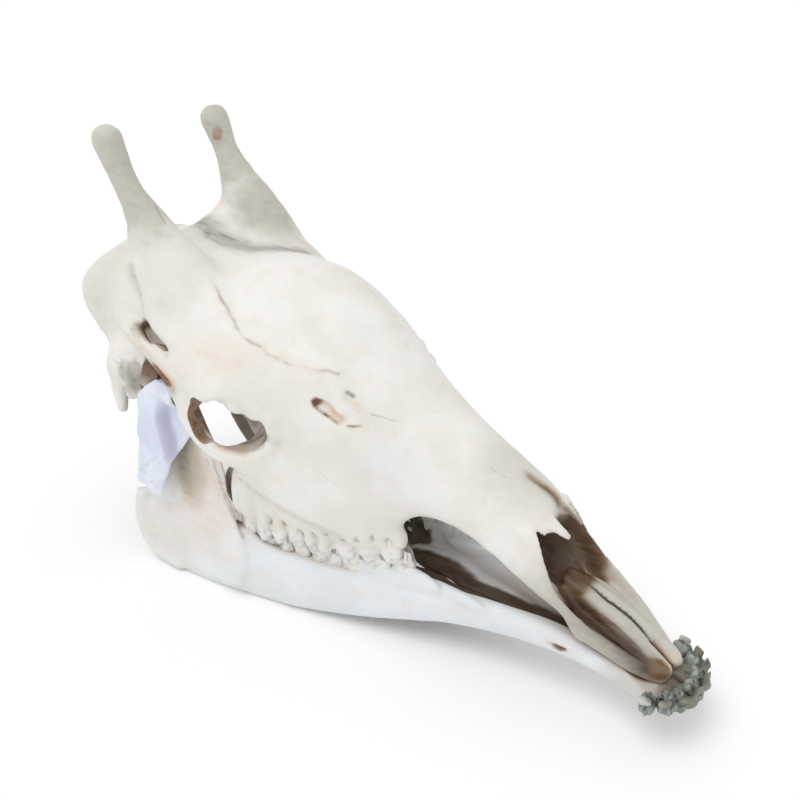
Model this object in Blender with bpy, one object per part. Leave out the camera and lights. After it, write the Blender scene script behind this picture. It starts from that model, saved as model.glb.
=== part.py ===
"""Giraffe skull with its lower jaw, lying on the lower edges of the jaw.

Sizes are in millimetres: x runs forward from the back of the skull, y to the animal's left and
z up from the floor. The finished meshes are in metres about the middle of the length.
"""
import math

import bmesh
import bpy
import numpy as np
from mathutils import Matrix, Vector

MM = 0.001
MIDDLE = 292.4
GAP = 0.3

# Bite
BITE = 80.0
ROW_REAR = 171.0
ROW_FRONT = 335.0
ROW_REAR_Y = 60.0
ROW_FRONT_Y = 36.0
CHEEK_TEETH = 6

# Eye socket
ORBIT = (202.0, 97.0, 215.5)
ORBIT_LONG = 37.0
ORBIT_HIGH = 28.0
RIM_THICK = 4.8

# Horns (ossicones): tip, then the middle of the shaft; the two differ a little, as in life
HORN_RIGHT = ((56.0, 61.0, 427.0), (71.0, 60.0, 390.0), (89.0, 59.0, 360.0))
HORN_LEFT = ((61.0, 61.0, 413.0), (73.0, 60.0, 386.0), (86.0, 59.0, 360.0))
HORN_KNOB = 13.8
HORN_WAIST = 11.0
HORN_SEAM = 342.0

# Jaw
CONDYLE = (86.0, 77.0, 201.0)
FLAT_LEVEL = 0.0

# Outline of the upper skull. Each row: x, height of the ridge, then half width and height of the
# shoulder, the widest point and the lower edge, then height of the underside.
OUTLINE = (
    (4, 296, 36, 288, 58, 250, 42, 196, 180),
    (30, 314, 42, 302, 66, 256, 46, 192, 168),
    (65, 326, 50, 314, 66, 264, 46, 196, 164),
    (100, 329, 62, 314, 84, 268, 46, 204, 164),
    (135, 326, 66, 306, 101, 254, 58, 206, 166),
    (170, 328, 62, 303, 107, 246, 76, 186, 150),
    (205, 332, 55, 304, 106, 242, 79, 136, 118),
    (240, 331, 45, 304, 88, 232, 70, 110, 110),
    (275, 319, 38, 292, 74, 230, 62, 103, 108),
    (310, 290, 32, 266, 64, 208, 53, 104, 114),
    (345, 254, 28, 239, 53, 188, 40, 143, 146),
    (380, 231, 26, 216, 43, 176, 33, 147, 145),
    (420, 208, 24, 196, 36, 163, 31, 132, 127),
    (455, 188, 22, 177, 33, 146, 30, 112, 104),
    (500, 150, 14, 142, 31, 112, 29, 92, 86),
)

# Lower jaw. Each row along the body: x, half distance, lower edge, upper edge, half thickness.
JAW_BODY = (
    (62, 86, 26, 74, 4.5),
    (90, 84, 4, 78, 6.0),
    (125, 80, -1.5, 88, 8.5),
    (160, 75, -1.5, 87, 9.5),
    (182, 70, -1.5, 79, 10.5),
    (202, 66, -1, 67, 11.0),
    (230, 61, 1, 64, 11.5),
    (285, 49, 10, 63, 11.0),
    (335, 38, 22, 66, 9.5),
    (380, 29, 34, 72, 8.0),
    (430, 22, 42, 74, 7.5),
    (480, 17, 46, 73, 9.0),
    (530, 15, 45, 66, 11.0),
    (565, 16, 48, 64, 15.0),
)


# Muzzle bone plates. Each row: x and height of the upper rim, x and height of the lower edge, half
# distance and half thickness. The right one is lower, as in life.
PLATE_RIGHT = (
    (456, 178, 424, 150, 29, 3.4),
    (465, 160, 436, 128, 29.5, 3.4),
    (470, 143, 446, 108, 29.5, 3.6),
    (479, 120, 458, 92, 28.5, 3.8),
    (494, 106, 478, 83, 27.5, 4.2),
    (511, 95, 500, 79, 26.5, 4.6),
    (531, 87, 523, 73, 24.5, 5.0),
    (551, 79, 544, 63, 20.5, 5.5),
    (566, 72, 558, 57, 15, 6.0),
    (577, 65, 571, 53, 9, 6.0),
)
PLATE_LEFT = (
    (456, 176, 424, 150, 29, 3.4),
    (467, 158, 436, 128, 30, 3.4),
    (479, 141, 447, 108, 30.5, 3.6),
    (493, 127, 462, 92, 30, 3.8),
    (508, 115, 483, 83, 29.5, 4.2),
    (522, 105, 502, 79, 28, 4.6),
    (538, 93, 523, 73, 25.5, 5.0),
    (553, 81, 543, 63, 21.5, 5.5),
    (568, 73, 558, 57, 15, 6.0),
    (580, 66, 571, 53, 9, 6.0),
)


def spline(points, count, closed=False):
    """Curve through the given rows, as count evenly spread rows."""
    rows = np.asarray(points, float)
    if closed:
        padded = np.vstack([rows[-1], rows, rows[0], rows[1]])
        spans = len(rows)
    else:
        padded = np.vstack([2 * rows[0] - rows[1], rows, 2 * rows[-1] - rows[-2]])
        spans = len(rows) - 1
    out = []
    steps = np.linspace(0.0, spans, count, endpoint=not closed)
    for step in steps:
        k = min(int(step), spans - 1)
        t = step - k
        p0, p1, p2, p3 = padded[k:k + 4]
        out.append(0.5 * (2 * p1 + (p2 - p0) * t + (2 * p0 - 5 * p1 + 4 * p2 - p3) * t ** 2
                          + (3 * p1 - p0 - 3 * p2 + p3) * t ** 3))
    return np.array(out)


def mesh_object(name, vertices, faces):
    """New object from millimetre vertices, moved to metres."""
    shifted = [((x - MIDDLE) * MM, y * MM, z * MM) for x, y, z in vertices]
    mesh = bpy.data.meshes.new(name)
    mesh.from_pydata(shifted, [], faces)
    mesh.validate()
    obj = bpy.data.objects.new(name, mesh)
    bpy.context.scene.collection.objects.link(obj)
    bm = bmesh.new()
    bm.from_mesh(mesh)
    bmesh.ops.recalc_face_normals(bm, faces=bm.faces)
    bm.to_mesh(mesh)
    bm.free()
    return obj


def loft(name, rings):
    """Closed skin over rings of equal length, the ends closed with a fan."""
    count = len(rings[0])
    vertices = [tuple(p) for ring in rings for p in ring]
    faces = []
    for i in range(len(rings) - 1):
        a, b = i * count, (i + 1) * count
        for j in range(count):
            k = (j + 1) % count
            faces.append((a + j, a + k, b + k, b + j))
    for ring, start in ((rings[0], 0), (rings[-1], (len(rings) - 1) * count)):
        centre = len(vertices)
        vertices.append(tuple(np.mean(np.asarray(ring), axis=0)))
        for j in range(count):
            faces.append((start + j, start + (j + 1) % count, centre))
    return mesh_object(name, vertices, faces)


def limb(name, rows, sides=20, up=(0, 0, 1), steps=6):
    """Rounded tube along rows of x, y, z, radius across and radius along up."""
    curve = spline(rows, (len(rows) - 1) * steps + 1)
    points = curve[:, :3]
    tangents = np.gradient(points, axis=0)
    tangents /= np.linalg.norm(tangents, axis=1)[:, None]
    rings = []
    caps = (0.25, 0.55, 0.8, 0.95)

    def ring(centre, tangent, wide, high):
        side = np.cross(up, tangent)
        side /= np.linalg.norm(side)
        lift = np.cross(tangent, side)
        angles = np.linspace(0, 2 * math.pi, sides, endpoint=False)
        return [centre + side * wide * math.cos(a) + lift * high * math.sin(a) for a in angles]

    first, last = curve[0], curve[-1]
    for size in caps:
        reach = math.sqrt(1 - size ** 2) * min(first[3], first[4])
        rings.append(ring(points[0] - tangents[0] * reach, tangents[0], first[3] * size,
                          first[4] * size))
    for row, tangent in zip(curve, tangents):
        rings.append(ring(row[:3], tangent, row[3], row[4]))
    for size in reversed(caps):
        reach = math.sqrt(1 - size ** 2) * min(last[3], last[4])
        rings.append(ring(points[-1] + tangents[-1] * reach, tangents[-1], last[3] * size,
                          last[4] * size))
    return loft(name, rings)


def side_plate(name, rows, sides=16):
    """Upright plate: rows of upper x and z, lower x and z, distance from the middle, half width."""
    rings = []
    for x1, z1, x2, z2, y, half in spline(rows, len(rows) * 4):
        ring = []
        for j in range(sides):
            angle = 2 * math.pi * j / sides
            t = 0.5 - 0.5 * math.cos(angle)
            ring.append((x1 + (x2 - x1) * t, y + half * math.sin(angle), z1 + (z2 - z1) * t))
        rings.append(ring)
    return loft(name, rings)


def ball(name, centre, radii, turn=(0, 0, 0)):
    """Ellipsoid with half sizes radii, turned by degrees about x, y and z."""
    bm = bmesh.new()
    bmesh.ops.create_uvsphere(bm, u_segments=28, v_segments=18, radius=1.0)
    turned = Matrix.Identity(3)
    for axis, angle in zip("XYZ", turn):
        turned = Matrix.Rotation(math.radians(angle), 3, axis) @ turned
    size = Matrix.Diagonal(Vector(radii))
    vertices = [tuple(turned @ (size @ v.co) + Vector(centre)) for v in bm.verts]
    faces = [tuple(v.index for v in f.verts) for f in bm.faces]
    bm.free()
    return mesh_object(name, vertices, faces)


def prism(name, outline, low, high):
    """Flat-sided block: an x and z outline pulled from y low to y high."""
    count = len(outline)
    vertices = [(x, low, z) for x, z in outline] + [(x, high, z) for x, z in outline]
    faces = [tuple(range(count)), tuple(reversed(range(count, 2 * count)))]
    for j in range(count):
        k = (j + 1) % count
        faces.append((j, k, count + k, count + j))
    return mesh_object(name, vertices, faces)


def flipped(obj):
    """Mirror copy on the other side of the skull."""
    copy = obj.copy()
    copy.data = obj.data.copy()
    bpy.context.scene.collection.objects.link(copy)
    bm = bmesh.new()
    bm.from_mesh(copy.data)
    for vertex in bm.verts:
        vertex.co.y = -vertex.co.y
    bmesh.ops.reverse_faces(bm, faces=bm.faces)
    bm.to_mesh(copy.data)
    bm.free()
    return copy


def pair(obj):
    """The object and its mirror copy."""
    return [obj, flipped(obj)]


def remove(objects):
    """Take objects and their meshes out of the file."""
    for obj in objects:
        mesh = obj.data
        bpy.data.objects.remove(obj)
        bpy.data.meshes.remove(mesh)


def settle(obj):
    """Turn the object's modifiers into plain mesh."""
    graph = bpy.context.evaluated_depsgraph_get()
    old = obj.data
    mesh = bpy.data.meshes.new_from_object(obj.evaluated_get(graph))
    obj.modifiers.clear()
    obj.data = mesh
    bpy.data.meshes.remove(old)
    return obj


def largest(obj):
    """Keep only the biggest closed surface of the object."""
    bm = bmesh.new()
    bm.from_mesh(obj.data)
    left = set(bm.verts)
    groups = []
    while left:
        stack = [left.pop()]
        group = []
        while stack:
            vertex = stack.pop()
            group.append(vertex)
            for edge in vertex.link_edges:
                other = edge.other_vert(vertex)
                if other in left:
                    left.discard(other)
                    stack.append(other)
        groups.append(group)
    groups.sort(key=len)
    for group in groups[:-1]:
        bmesh.ops.delete(bm, geom=group, context="VERTS")
    bm.to_mesh(obj.data)
    bm.free()
    return obj


def fuse(name, pieces, voxel, passes):
    """Grow the pieces together into one smooth skin."""
    vertices = []
    faces = []
    for piece in pieces:
        start = len(vertices)
        vertices += [tuple(v.co) for v in piece.data.vertices]
        faces += [tuple(start + k for k in p.vertices) for p in piece.data.polygons]
    remove(pieces)
    mesh = bpy.data.meshes.new(name)
    mesh.from_pydata(vertices, [], faces)
    obj = bpy.data.objects.new(name, mesh)
    bpy.context.scene.collection.objects.link(obj)
    grown = obj.modifiers.new("grown", "REMESH")
    grown.mode = "VOXEL"
    grown.voxel_size = voxel * MM
    soft = obj.modifiers.new("soft", "SMOOTH")
    soft.factor = 0.5
    soft.iterations = passes
    return settle(obj)


def carve(obj, cutters, operation="DIFFERENCE", voxel=0.0, passes=0):
    """Cut with or join to the given pieces, then soften the edges if a voxel size is given."""
    held = bpy.data.collections.new("held")
    bpy.context.scene.collection.children.link(held)
    for cutter in cutters:
        bpy.context.scene.collection.objects.unlink(cutter)
        held.objects.link(cutter)
    step = obj.modifiers.new("carved", "BOOLEAN")
    step.operation = operation
    step.operand_type = "COLLECTION"
    step.collection = held
    step.solver = "EXACT"
    if voxel:
        grown = obj.modifiers.new("grown", "REMESH")
        grown.mode = "VOXEL"
        grown.voxel_size = voxel * MM
        soft = obj.modifiers.new("soft", "SMOOTH")
        soft.factor = 0.5
        soft.iterations = passes
    settle(obj)
    remove(list(held.objects))
    bpy.data.collections.remove(held)
    return largest(obj)


def thin(obj, triangles, mirrored=False):
    """Reduce the object to about the given number of triangles."""
    obj.data.calc_loop_triangles()
    ratio = triangles / len(obj.data.loop_triangles)
    if ratio < 1.0:
        fewer = obj.modifiers.new("fewer", "DECIMATE")
        fewer.ratio = ratio
        fewer.use_collapse_triangulate = True
        if mirrored:
            fewer.use_symmetry = True
            fewer.symmetry_axis = "Y"
        settle(obj)
    return largest(obj)


def skull_ring(row):
    """Cross section of the upper skull from one row of sizes."""
    x, ridge, y1, z1, y2, z2, y3, z3, under = row
    half = [(0, ridge), (y1, z1), (y2, z2), (y3, z3), (0, under)]
    whole = half + [(-y, z) for y, z in reversed(half[1:-1])]
    return [(x, y, z) for y, z in spline(whole, 64, closed=True)]


def skull_form():
    """Face, forehead and braincase as one plain form with its main hollows."""
    rows = spline(OUTLINE, 90)
    pieces = [loft("outline", [skull_ring(row) for row in rows])]
    pieces += pair(ball("lobe", (26, 34, 262), (44, 34, 48), (0, -12, 0)))
    pieces += pair(ball("crest", (5, 47, 266), (26, 22, 31), (0, -8, 0)))
    pieces += pair(ball("temple wall", (52, 34, 256), (46, 36, 58)))
    pieces += [ball("nape", (16, 0, 262), (26, 44, 42))]
    pieces += pair(limb("nape ridge", ((26, 57, 226, 11, 11), (5, 57, 262, 13, 14),
                                       (-3, 40, 282, 13, 14), (-1, 0, 292, 13, 14))))
    pieces += pair(ball("horn swell", (132, 48, 286), (66, 36, 40), (0, 9, 0)))
    pieces += pair(limb("horn seat", ((126, 51, 270, 34, 46), (117, 53, 300, 32, 44),
                                      (102, 57, 330, 26, 32), (90, 59, 350, 20, 22)),
                        up=(1, 0, 0.3)))
    pieces += [limb("saddle", ((84, -56, 332, 18, 18), (84, -28, 322, 18, 17),
                               (84, 0, 318, 18, 17), (84, 28, 322, 18, 17),
                               (84, 56, 332, 18, 18)), up=(0, 0, 1))]
    form = fuse("cranium", pieces, 3.0, 14)
    cutters = []
    cutters += pair(temple_cutter())
    cutters += pair(temple_gap_cutter())
    cutters += pair(under_cutter())
    cutters += pair(socket_cutter())
    cutters += [nose_cutter(), mouth_cutter(), throat_cutter()]
    cutters += [ball("spine hole", (-14, 0, 200), (30, 12, 11))]
    return carve(form, cutters)


def temple_cutter():
    """Hollow behind the eye between the braincase and the cheek arch."""
    rows = ((72, 84, 246, 14, 16), (90, 79, 247, 19, 28), (115, 78, 242, 17, 31),
            (142, 80, 230, 13, 27))
    return limb("temple", rows)


def temple_gap_cutter():
    """Open side of the hollow behind the eye."""
    rows = ((66, 104, 252, 30, 14), (92, 106, 252, 24, 20), (112, 112, 244, 20, 18))
    return limb("temple gap", rows)


def under_cutter():
    """Space under the temple down to the jaw, beside the base of the braincase."""
    rings = []
    for x, inner, roof in ((-10, 48, 200), (40, 46, 204), (85, 40, 214), (120, 37, 220),
                           (150, 36, 216), (172, 40, 200), (186, 48, 176), (194, 58, 150)):
        shape = ((inner, roof - 16), (inner + 14, roof), (130, roof), (130, 60), (inner, 60))
        rings.append([(x, y, z) for y, z in shape])
    return loft("under", rings)


def socket_cutter():
    """Eye socket, opening inward, back and down past the base of the skull."""
    x, y, z = ORBIT
    rows = ((x + 12, y + 26, z + 12, ORBIT_LONG * 0.94, ORBIT_HIGH * 0.94),
            (x, y, z, ORBIT_LONG * 0.9, ORBIT_HIGH * 0.94),
            (x - 18, y - 24, z - 8, 33, 27),
            (x - 42, y - 46, z - 26, 26, 24))
    return limb("socket", rows)


def nose_cutter():
    """Everything above and ahead of the rim of the nose, and the passage behind it."""
    outline = ((434, 216), (448, 199), (459, 181), (465, 160), (470, 143), (478, 122), (492, 107),
               (520, 92), (640, 50), (640, 260), (434, 260))
    return prism("nose", outline, -60, 60)


def mouth_cutter():
    """Vault of the palate between the tooth rows."""
    rows = ((150, 0, 96, 30, 24), (250, 0, 96, 31, 27), (330, 0, 102, 25, 28),
            (400, 0, 106, 17, 18), (520, 0, 72, 13, 14))
    return limb("palate", rows)


def throat_cutter():
    """Passage from the back of the palate up toward the nose."""
    rows = ((120, 0, 132, 17, 18), (160, 0, 140, 17, 22), (205, 0, 152, 15, 20),
            (240, 0, 160, 13, 16))
    return limb("throat", rows)


def passage_cutter():
    """Hollow of the nose inside thin walls."""
    rows = ((325, 0, 182, 14, 20), (370, 0, 178, 21, 25), (420, 0, 162, 25, 27),
            (460, 0, 139, 25, 24), (520, 0, 112, 24, 18))
    return limb("passage", rows)


def skull_details():
    """Finer bones that are grown onto the plain form."""
    x, y, z = ORBIT
    turn = np.linspace(0, 2 * math.pi, 33)
    pieces = []
    rim = []
    for angle in turn[:-1]:
        lean = -9 * math.cos(angle)
        rim.append((x + ORBIT_LONG * math.cos(angle), y + 0.5 + lean,
                    z + (ORBIT_HIGH + 2) * math.sin(angle)))
    pieces += pair(ring_limb("rim", rim, RIM_THICK))
    cheek = ((242, 78, 192, 10, 14), (221, 86, 180, 9, 10), (196, 94, 177, 7, 8),
             (168, 100, 188, 6, 8), (146, 99, 212, 6, 10))
    pieces += pair(limb("cheek", cheek))
    arch = ((154, 101, 214, 5, 11), (136, 99.5, 240, 4.5, 10), (112, 95, 255, 4.5, 9.5),
            (86, 84, 261, 6, 9), (56, 69, 257, 10, 9))
    pieces += pair(limb("arch", arch))
    pieces += pair(limb("joint seat", ((72, 58, 222, 14, 9), (84, 76, 219, 15, 8),
                                       (90, 92, 232, 11, 8)), up=(1, 0, 0)))
    pieces += pair(limb("ear root", ((70, 56, 232, 16, 20), (44, 60, 220, 15, 24),
                                     (26, 62, 196, 13, 18))))
    pieces += pair(limb("throat spur", ((22, 58, 204, 13, 14), (20, 62, 178, 9, 10),
                                        (24, 67, 154, 5, 6)), up=(1, 0, 0)))
    pieces += pair(ball("neck knob", (5, 22, 184), (19, 14, 22), (0, 12, 14)))
    pieces += [limb("base", ((10, 0, 182, 24, 10), (50, 0, 170, 22, 9), (95, 0, 168, 17, 9),
                             (135, 0, 172, 14, 9)))]
    pieces += pair(ball("ear drum", (62, 33, 168), (15, 9, 15)))
    pieces += pair(limb("throat wing", ((128, 22, 168, 3, 9), (150, 22, 152, 3, 20),
                                        (176, 25, 138, 4, 26), (206, 34, 126, 6, 16))))
    pieces += pair(limb("gum", ((188, 61, 114, 10, 14), (240, 58, 110, 11, 12),
                                (290, 49, 110, 10, 12), (332, 38, 114, 8, 12)), sides=16))
    pieces += pair(ball("tooth swell", (168, 58, 114), (22, 12, 28)))
    pieces += pair(limb("cheek root", ((184, 68, 132, 10, 14), (200, 78, 158, 10, 16),
                                       (216, 84, 176, 10, 14)), up=(1, 0, 0)))
    left = horn(HORN_LEFT)
    right = horn(HORN_RIGHT)
    mirror = flipped(right)
    remove([right])
    return pieces + [left, mirror]


def ring_limb(name, points, radius, sides=14):
    """Closed loop of even thickness through the given points."""
    points = np.asarray(points)
    count = len(points)
    vertices = []
    faces = []
    middle = points.mean(axis=0)
    for i, point in enumerate(points):
        tangent = points[(i + 1) % count] - points[i - 1]
        tangent /= np.linalg.norm(tangent)
        out = point - middle
        out -= tangent * out.dot(tangent)
        out /= np.linalg.norm(out)
        lift = np.cross(tangent, out)
        for j in range(sides):
            angle = 2 * math.pi * j / sides
            vertices.append(point + radius * (out * math.cos(angle) + lift * math.sin(angle)))
    for i in range(count):
        for j in range(sides):
            a, b = i * sides, ((i + 1) % count) * sides
            k = (j + 1) % sides
            faces.append((a + j, a + k, b + k, b + j))
    return mesh_object(name, [tuple(v) for v in vertices], faces)


def nasals():
    """The two tongues of bone over the nose."""
    rows = ((400, 11, 204, 10, 6), (425, 12, 193, 10, 5), (448, 13.5, 180, 8.5, 4),
            (466, 12.5, 171, 6, 3.2), (480, 10.5, 163, 3, 2.5))
    return pair(limb("nasal", rows, sides=14, up=(0, 0.45, 1)))


def tooth_at(along, lift, side_shift=0.0):
    """Place on the tooth row, along from 0 at the back to 1 at the front."""
    x = ROW_REAR + (ROW_FRONT - ROW_REAR) * along
    y = ROW_REAR_Y + (ROW_FRONT_Y - ROW_REAR_Y) * along ** 1.25 + side_shift
    return np.array((x, y, lift))


def cheek_teeth(upper):
    """Columns of the grinding teeth of one side, two to a molar and one to a premolar."""
    chance = np.random.default_rng(7 if upper else 11)
    columns = []
    cells = []
    start = 0.0
    widths = (0.205, 0.2, 0.185, 0.14, 0.14, 0.13)
    for number, width in enumerate(widths):
        if number < 3:
            cells.append((start + width * 0.25, width * 0.5, number))
            cells.append((start + width * 0.75, width * 0.5, number))
        else:
            cells.append((start + width * 0.5, width, number))
        start += width
    reach = ROW_FRONT - ROW_REAR
    for middle, width, number in cells:
        long = width * reach * 0.5 * 1.04
        deep = (11.5 if upper else 8.0) - 0.5 * number
        shift = 2.0 if upper else -4.0
        wobble = chance.uniform(-0.8, 0.8)
        if upper:
            levels = ((BITE + GAP / 2, 0.86), (BITE + 4, 1.0), (BITE + 16, 1.02), (BITE + 34, 0.7))
        else:
            levels = ((BITE - GAP / 2, 0.84), (BITE - 4, 1.0), (BITE - 14, 1.02), (BITE - 30, 0.7))
        rings = []
        for level, size in levels:
            centre = tooth_at(middle, level, shift + wobble)
            ahead = tooth_at(middle + 0.01, level) - tooth_at(middle - 0.01, level)
            ahead /= np.linalg.norm(ahead)
            across = np.array((-ahead[1], ahead[0], 0.0))
            ring = []
            for j in range(8):
                angle = 2 * math.pi * (j + 0.5) / 8
                ring.append(centre + ahead * long * size * math.cos(angle)
                            + across * deep * size * math.sin(angle))
            rings.append(ring)
        columns.append(loft("tooth", rings))
    return columns


def upper_skull():
    """Cranium with its upper cheek teeth, and the two ossicones cut from the same form."""
    form = skull_form()
    form = fuse("cranium", [form] + skull_details(), 2.0, 6)
    carve(form, [passage_cutter(), tip_cutter()] + pair(vacuity_cutter()) + pair(joint_cutter()))
    form = fuse("cranium", [form] + nasals(), 1.8, 4)
    thin(form, 7600)
    horns = []
    for name, low, high in (("ossicone_left", 0, 140), ("ossicone_right", -140, 0)):
        above = ((-60, HORN_SEAM + GAP), (400, HORN_SEAM + GAP), (400, 600), (-60, 600))
        one = form.copy()
        one.data = form.data.copy()
        bpy.context.scene.collection.objects.link(one)
        horns.append(carve(one, [prism(name, above, low, high)], "INTERSECT"))
    above = ((-60, HORN_SEAM), (400, HORN_SEAM), (400, 600), (-60, 600))
    carve(form, [prism("above", above, -140, 140), muzzle_cutter()])
    teeth = []
    for tooth in cheek_teeth(upper=True):
        teeth += pair(tooth)
    return carve(form, teeth, "UNION"), horns


def joint_cutter():
    """Socket over the knuckle of the jaw."""
    x, y, z = CONDYLE
    return limb("joint", ((x, y - 20, z, 9.2, 9.2), (x, y, z - 1, 9.6, 9.6),
                          (x + 2, y + 20, z + 2, 9.2, 9.2)))


def tip_cutter():
    """Front end of the plain form, which the muzzle bones replace."""
    return prism("front", ((500, 0), (700, 0), (700, 160), (500, 160)), -70, 70)


def vacuity_cutter():
    """Opening in the face ahead of the eye."""
    rows = ((282, 92, 247, 16, 7), (286, 72, 243, 16, 7), (289, 56, 239, 12, 7))
    return limb("vacuity", rows, up=(0.33, 0, 1))


def muzzle_cutter():
    """Space ahead of the seam for the muzzle bones."""
    outline = ((440, 166), (506, 76), (520, 10), (660, 10), (660, 100), (487, 147), (452, 172))
    return prism("muzzle", outline, -70, 70)


def muzzle_bone(plate):
    """One premaxilla, on the left side: side plate, floor and inner process beside the slot."""
    inner = ((462, 5.5, 117, 4.5, 7), (500, 6.5, 104, 5, 9), (528, 8, 92, 6, 9),
             (556, 9, 77, 7, 8), (572, 9, 67, 8, 6))
    floor = ((455, 17, 108, 14, 4), (485, 18, 94, 14, 4), (515, 18, 85, 13, 4),
             (545, 16, 72, 10, 4), (562, 14, 64, 8, 5))
    pieces = [side_plate("plate", plate), limb("inner", inner), limb("floor", floor)]
    form = fuse("muzzle bone", pieces, 1.2, 6)
    thin(form, 560)
    behind = prism("behind", ((440 + GAP, 165.6), (506 + GAP, 76), (506, 0), (380, 0),
                              (380, 260), (455, 260), (455, 173)), -70, 70)
    other = prism("other", ((380, 0), (640, 0), (640, 260), (380, 260)), -70, GAP / 2)
    slot = limb("slot", ((470, 0, 130, 0.6, 14), (500, 0, 118, 1.2, 12), (528, 0, 106, 1.9, 11),
                         (552, 0, 96, 0.8, 10)), sides=12)
    return carve(form, [behind, other, slot])


def horn(marks):
    """One ossicone with its wide foot, on the left side."""
    tip, waist, flare = marks
    rows = ((128, 50, 262, 30, 40), (117, 53, 300, 29, 42), (100, 57, 334, 24, 32),
            flare + (17, 19), waist + (HORN_WAIST, HORN_WAIST), tip + (HORN_KNOB, HORN_KNOB))
    return limb("horn", rows, up=(1, 0, 0.3))


def scene_clear():
    """Start from an empty scene."""
    for obj in list(bpy.data.objects):
        bpy.data.objects.remove(obj)


def grown_copy(obj, margin=0.4):
    """Copy of a finished piece, bigger all round by the margin, to cut a neighbour clear of it."""
    copy = obj.copy()
    copy.data = obj.data.copy()
    bpy.context.scene.collection.objects.link(copy)
    off = copy.modifiers.new("off", "DISPLACE")
    off.mid_level = 0.0
    off.strength = margin * MM
    return settle(copy)


def jaw_half(skull, muzzle):
    """Left half of the lower jaw with its teeth, clear of the skull and the muzzle bones."""
    rings = []
    for x, y, low, high, half in spline(JAW_BODY, 60):
        ring = []
        for j in range(24):
            angle = 2 * math.pi * j / 24
            across = math.copysign(abs(math.cos(angle)) ** 0.8, math.cos(angle))
            along = math.copysign(abs(math.sin(angle)) ** 0.8, math.sin(angle))
            ring.append((x, y + half * across, (low + high) / 2 + (high - low) / 2 * along))
        rings.append(ring)
    pieces = [loft("body", rings)]
    ramus = ((58, 12, 178, 14, 84.5, 5), (48, 40, 187, 60, 82.5, 5), (57, 76, 181, 82, 80.5, 5),
             (65, 112, 170, 114, 79, 5), (73, 150, 165, 150, 77, 5), (80, 184, 154, 176, 76, 5))
    pieces.append(side_plate("ramus", ramus, 20))
    pieces.append(limb("angle", ((96, 86, 8, 8, 6), (66, 88, 18, 9, 6), (53, 88, 44, 9, 6),
                                 (58, 87, 80, 8, 6)), up=(0, 1, 0)))
    x, y, z = CONDYLE
    pieces.append(limb("neck", ((94, 79, 158, 16, 6), (88, y, 184, 13, 7), (x, y, z - 4, 10, 8)),
                       up=(0, 1, 0)))
    pieces.append(limb("condyle", ((x, y - 17, z, 8, 8), (x, y, z - 1, 8.5, 8.5),
                                   (x + 2, y + 17, z + 2, 7.5, 7.5)), up=(0, 0, 1)))
    pieces.append(limb("coronoid", ((142, 79, 158, 20, 5), (135, 77, 188, 13, 4.5),
                                    (124, 75, 216, 8, 4), (108, 74, 242, 5, 3.5)), up=(0, 1, 0)))
    pieces.append(limb("chin", ((520, 12, 53, 12, 10), (552, 15, 50, 16, 9),
                                (572, 19, 50, 19, 8)), up=(0, 0, 1)))
    form = fuse("mandible_left", pieces, 1.8, 12)
    below = prism("below", ((-40, -40), (640, -40), (640, FLAT_LEVEL), (-40, FLAT_LEVEL)),
                  -120, 120)
    other = prism("other", ((-40, -60), (660, -60), (660, 260), (-40, 260)), -120, GAP / 2)
    above = prism("above", ((480, 80), (523, 71), (542, 64), (575, 53), (592, 48), (640, 48),
                            (640, 90)), -60, 60)
    thin(form, 1500)
    carve(form, [below, other, above, grown_copy(skull, 0.6)])
    carve(form, cheek_teeth(upper=False) + front_teeth(), "UNION")
    return carve(form, [grown_copy(bone) for bone in muzzle])


def jaw_wrap(jaw, skull):
    """Left strip folded round the back of the jaw below its joint, a little off the bone."""
    levels = ((89, 57, 88, 87, 8.5), (98, 53, 96, 87, 9), (122, 54, 106, 85, 9),
              (150, 60, 120, 83, 9.5), (172, 65, 128, 80, 14), (188, 67, 125, 79, 20),
              (203, 69, 120, 80, 21), (215, 76, 110, 84, 16))
    rings = []
    for z, rear, front, y, half in spline(levels, 10):
        ring = []
        for j in range(16):
            angle = 2 * math.pi * (j + 0.5) / 16
            across = math.copysign(abs(math.sin(angle)) ** 0.6, math.sin(angle))
            along = math.copysign(abs(math.cos(angle)) ** 0.75, math.cos(angle))
            ring.append(((rear + front) / 2 + (front - rear) / 2 * along, y + half * across, z))
        rings.append(ring)
    wrap = loft("jaw_wrap_left", rings)
    return thin(carve(wrap, [grown_copy(jaw), grown_copy(skull, 1.8)]), 560)


def front_teeth():
    """Three incisors and the lobed canine of the left side, in an arc."""
    teeth = []
    for number in range(4):
        turn = math.radians(12 + 23 * number)
        centre = np.array((563 + 36 * math.cos(turn), 37 * math.sin(turn), 54.0 - number))
        out = np.array((math.cos(turn), math.sin(turn), 0))
        across = np.array((-math.sin(turn), math.cos(turn), 0))
        rings = []
        for reach, lift, wide, thick in ((-20, -8, 3.2, 2.8), (-7, -4, 4.2, 3.4), (1, 3, 6.4, 4.0),
                                         (5, 12, 7.0, 2.2)):
            middle = centre + out * reach + np.array((0, 0, lift))
            ring = []
            for j in range(8):
                angle = 2 * math.pi * (j + 0.5) / 8
                ring.append(middle + across * wide * math.cos(angle)
                            + (out * 0.8 + np.array((0, 0, -0.6))) * thick * math.sin(angle))
            rings.append(ring)
        teeth.append(loft("incisor", rings))
    return teeth


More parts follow.
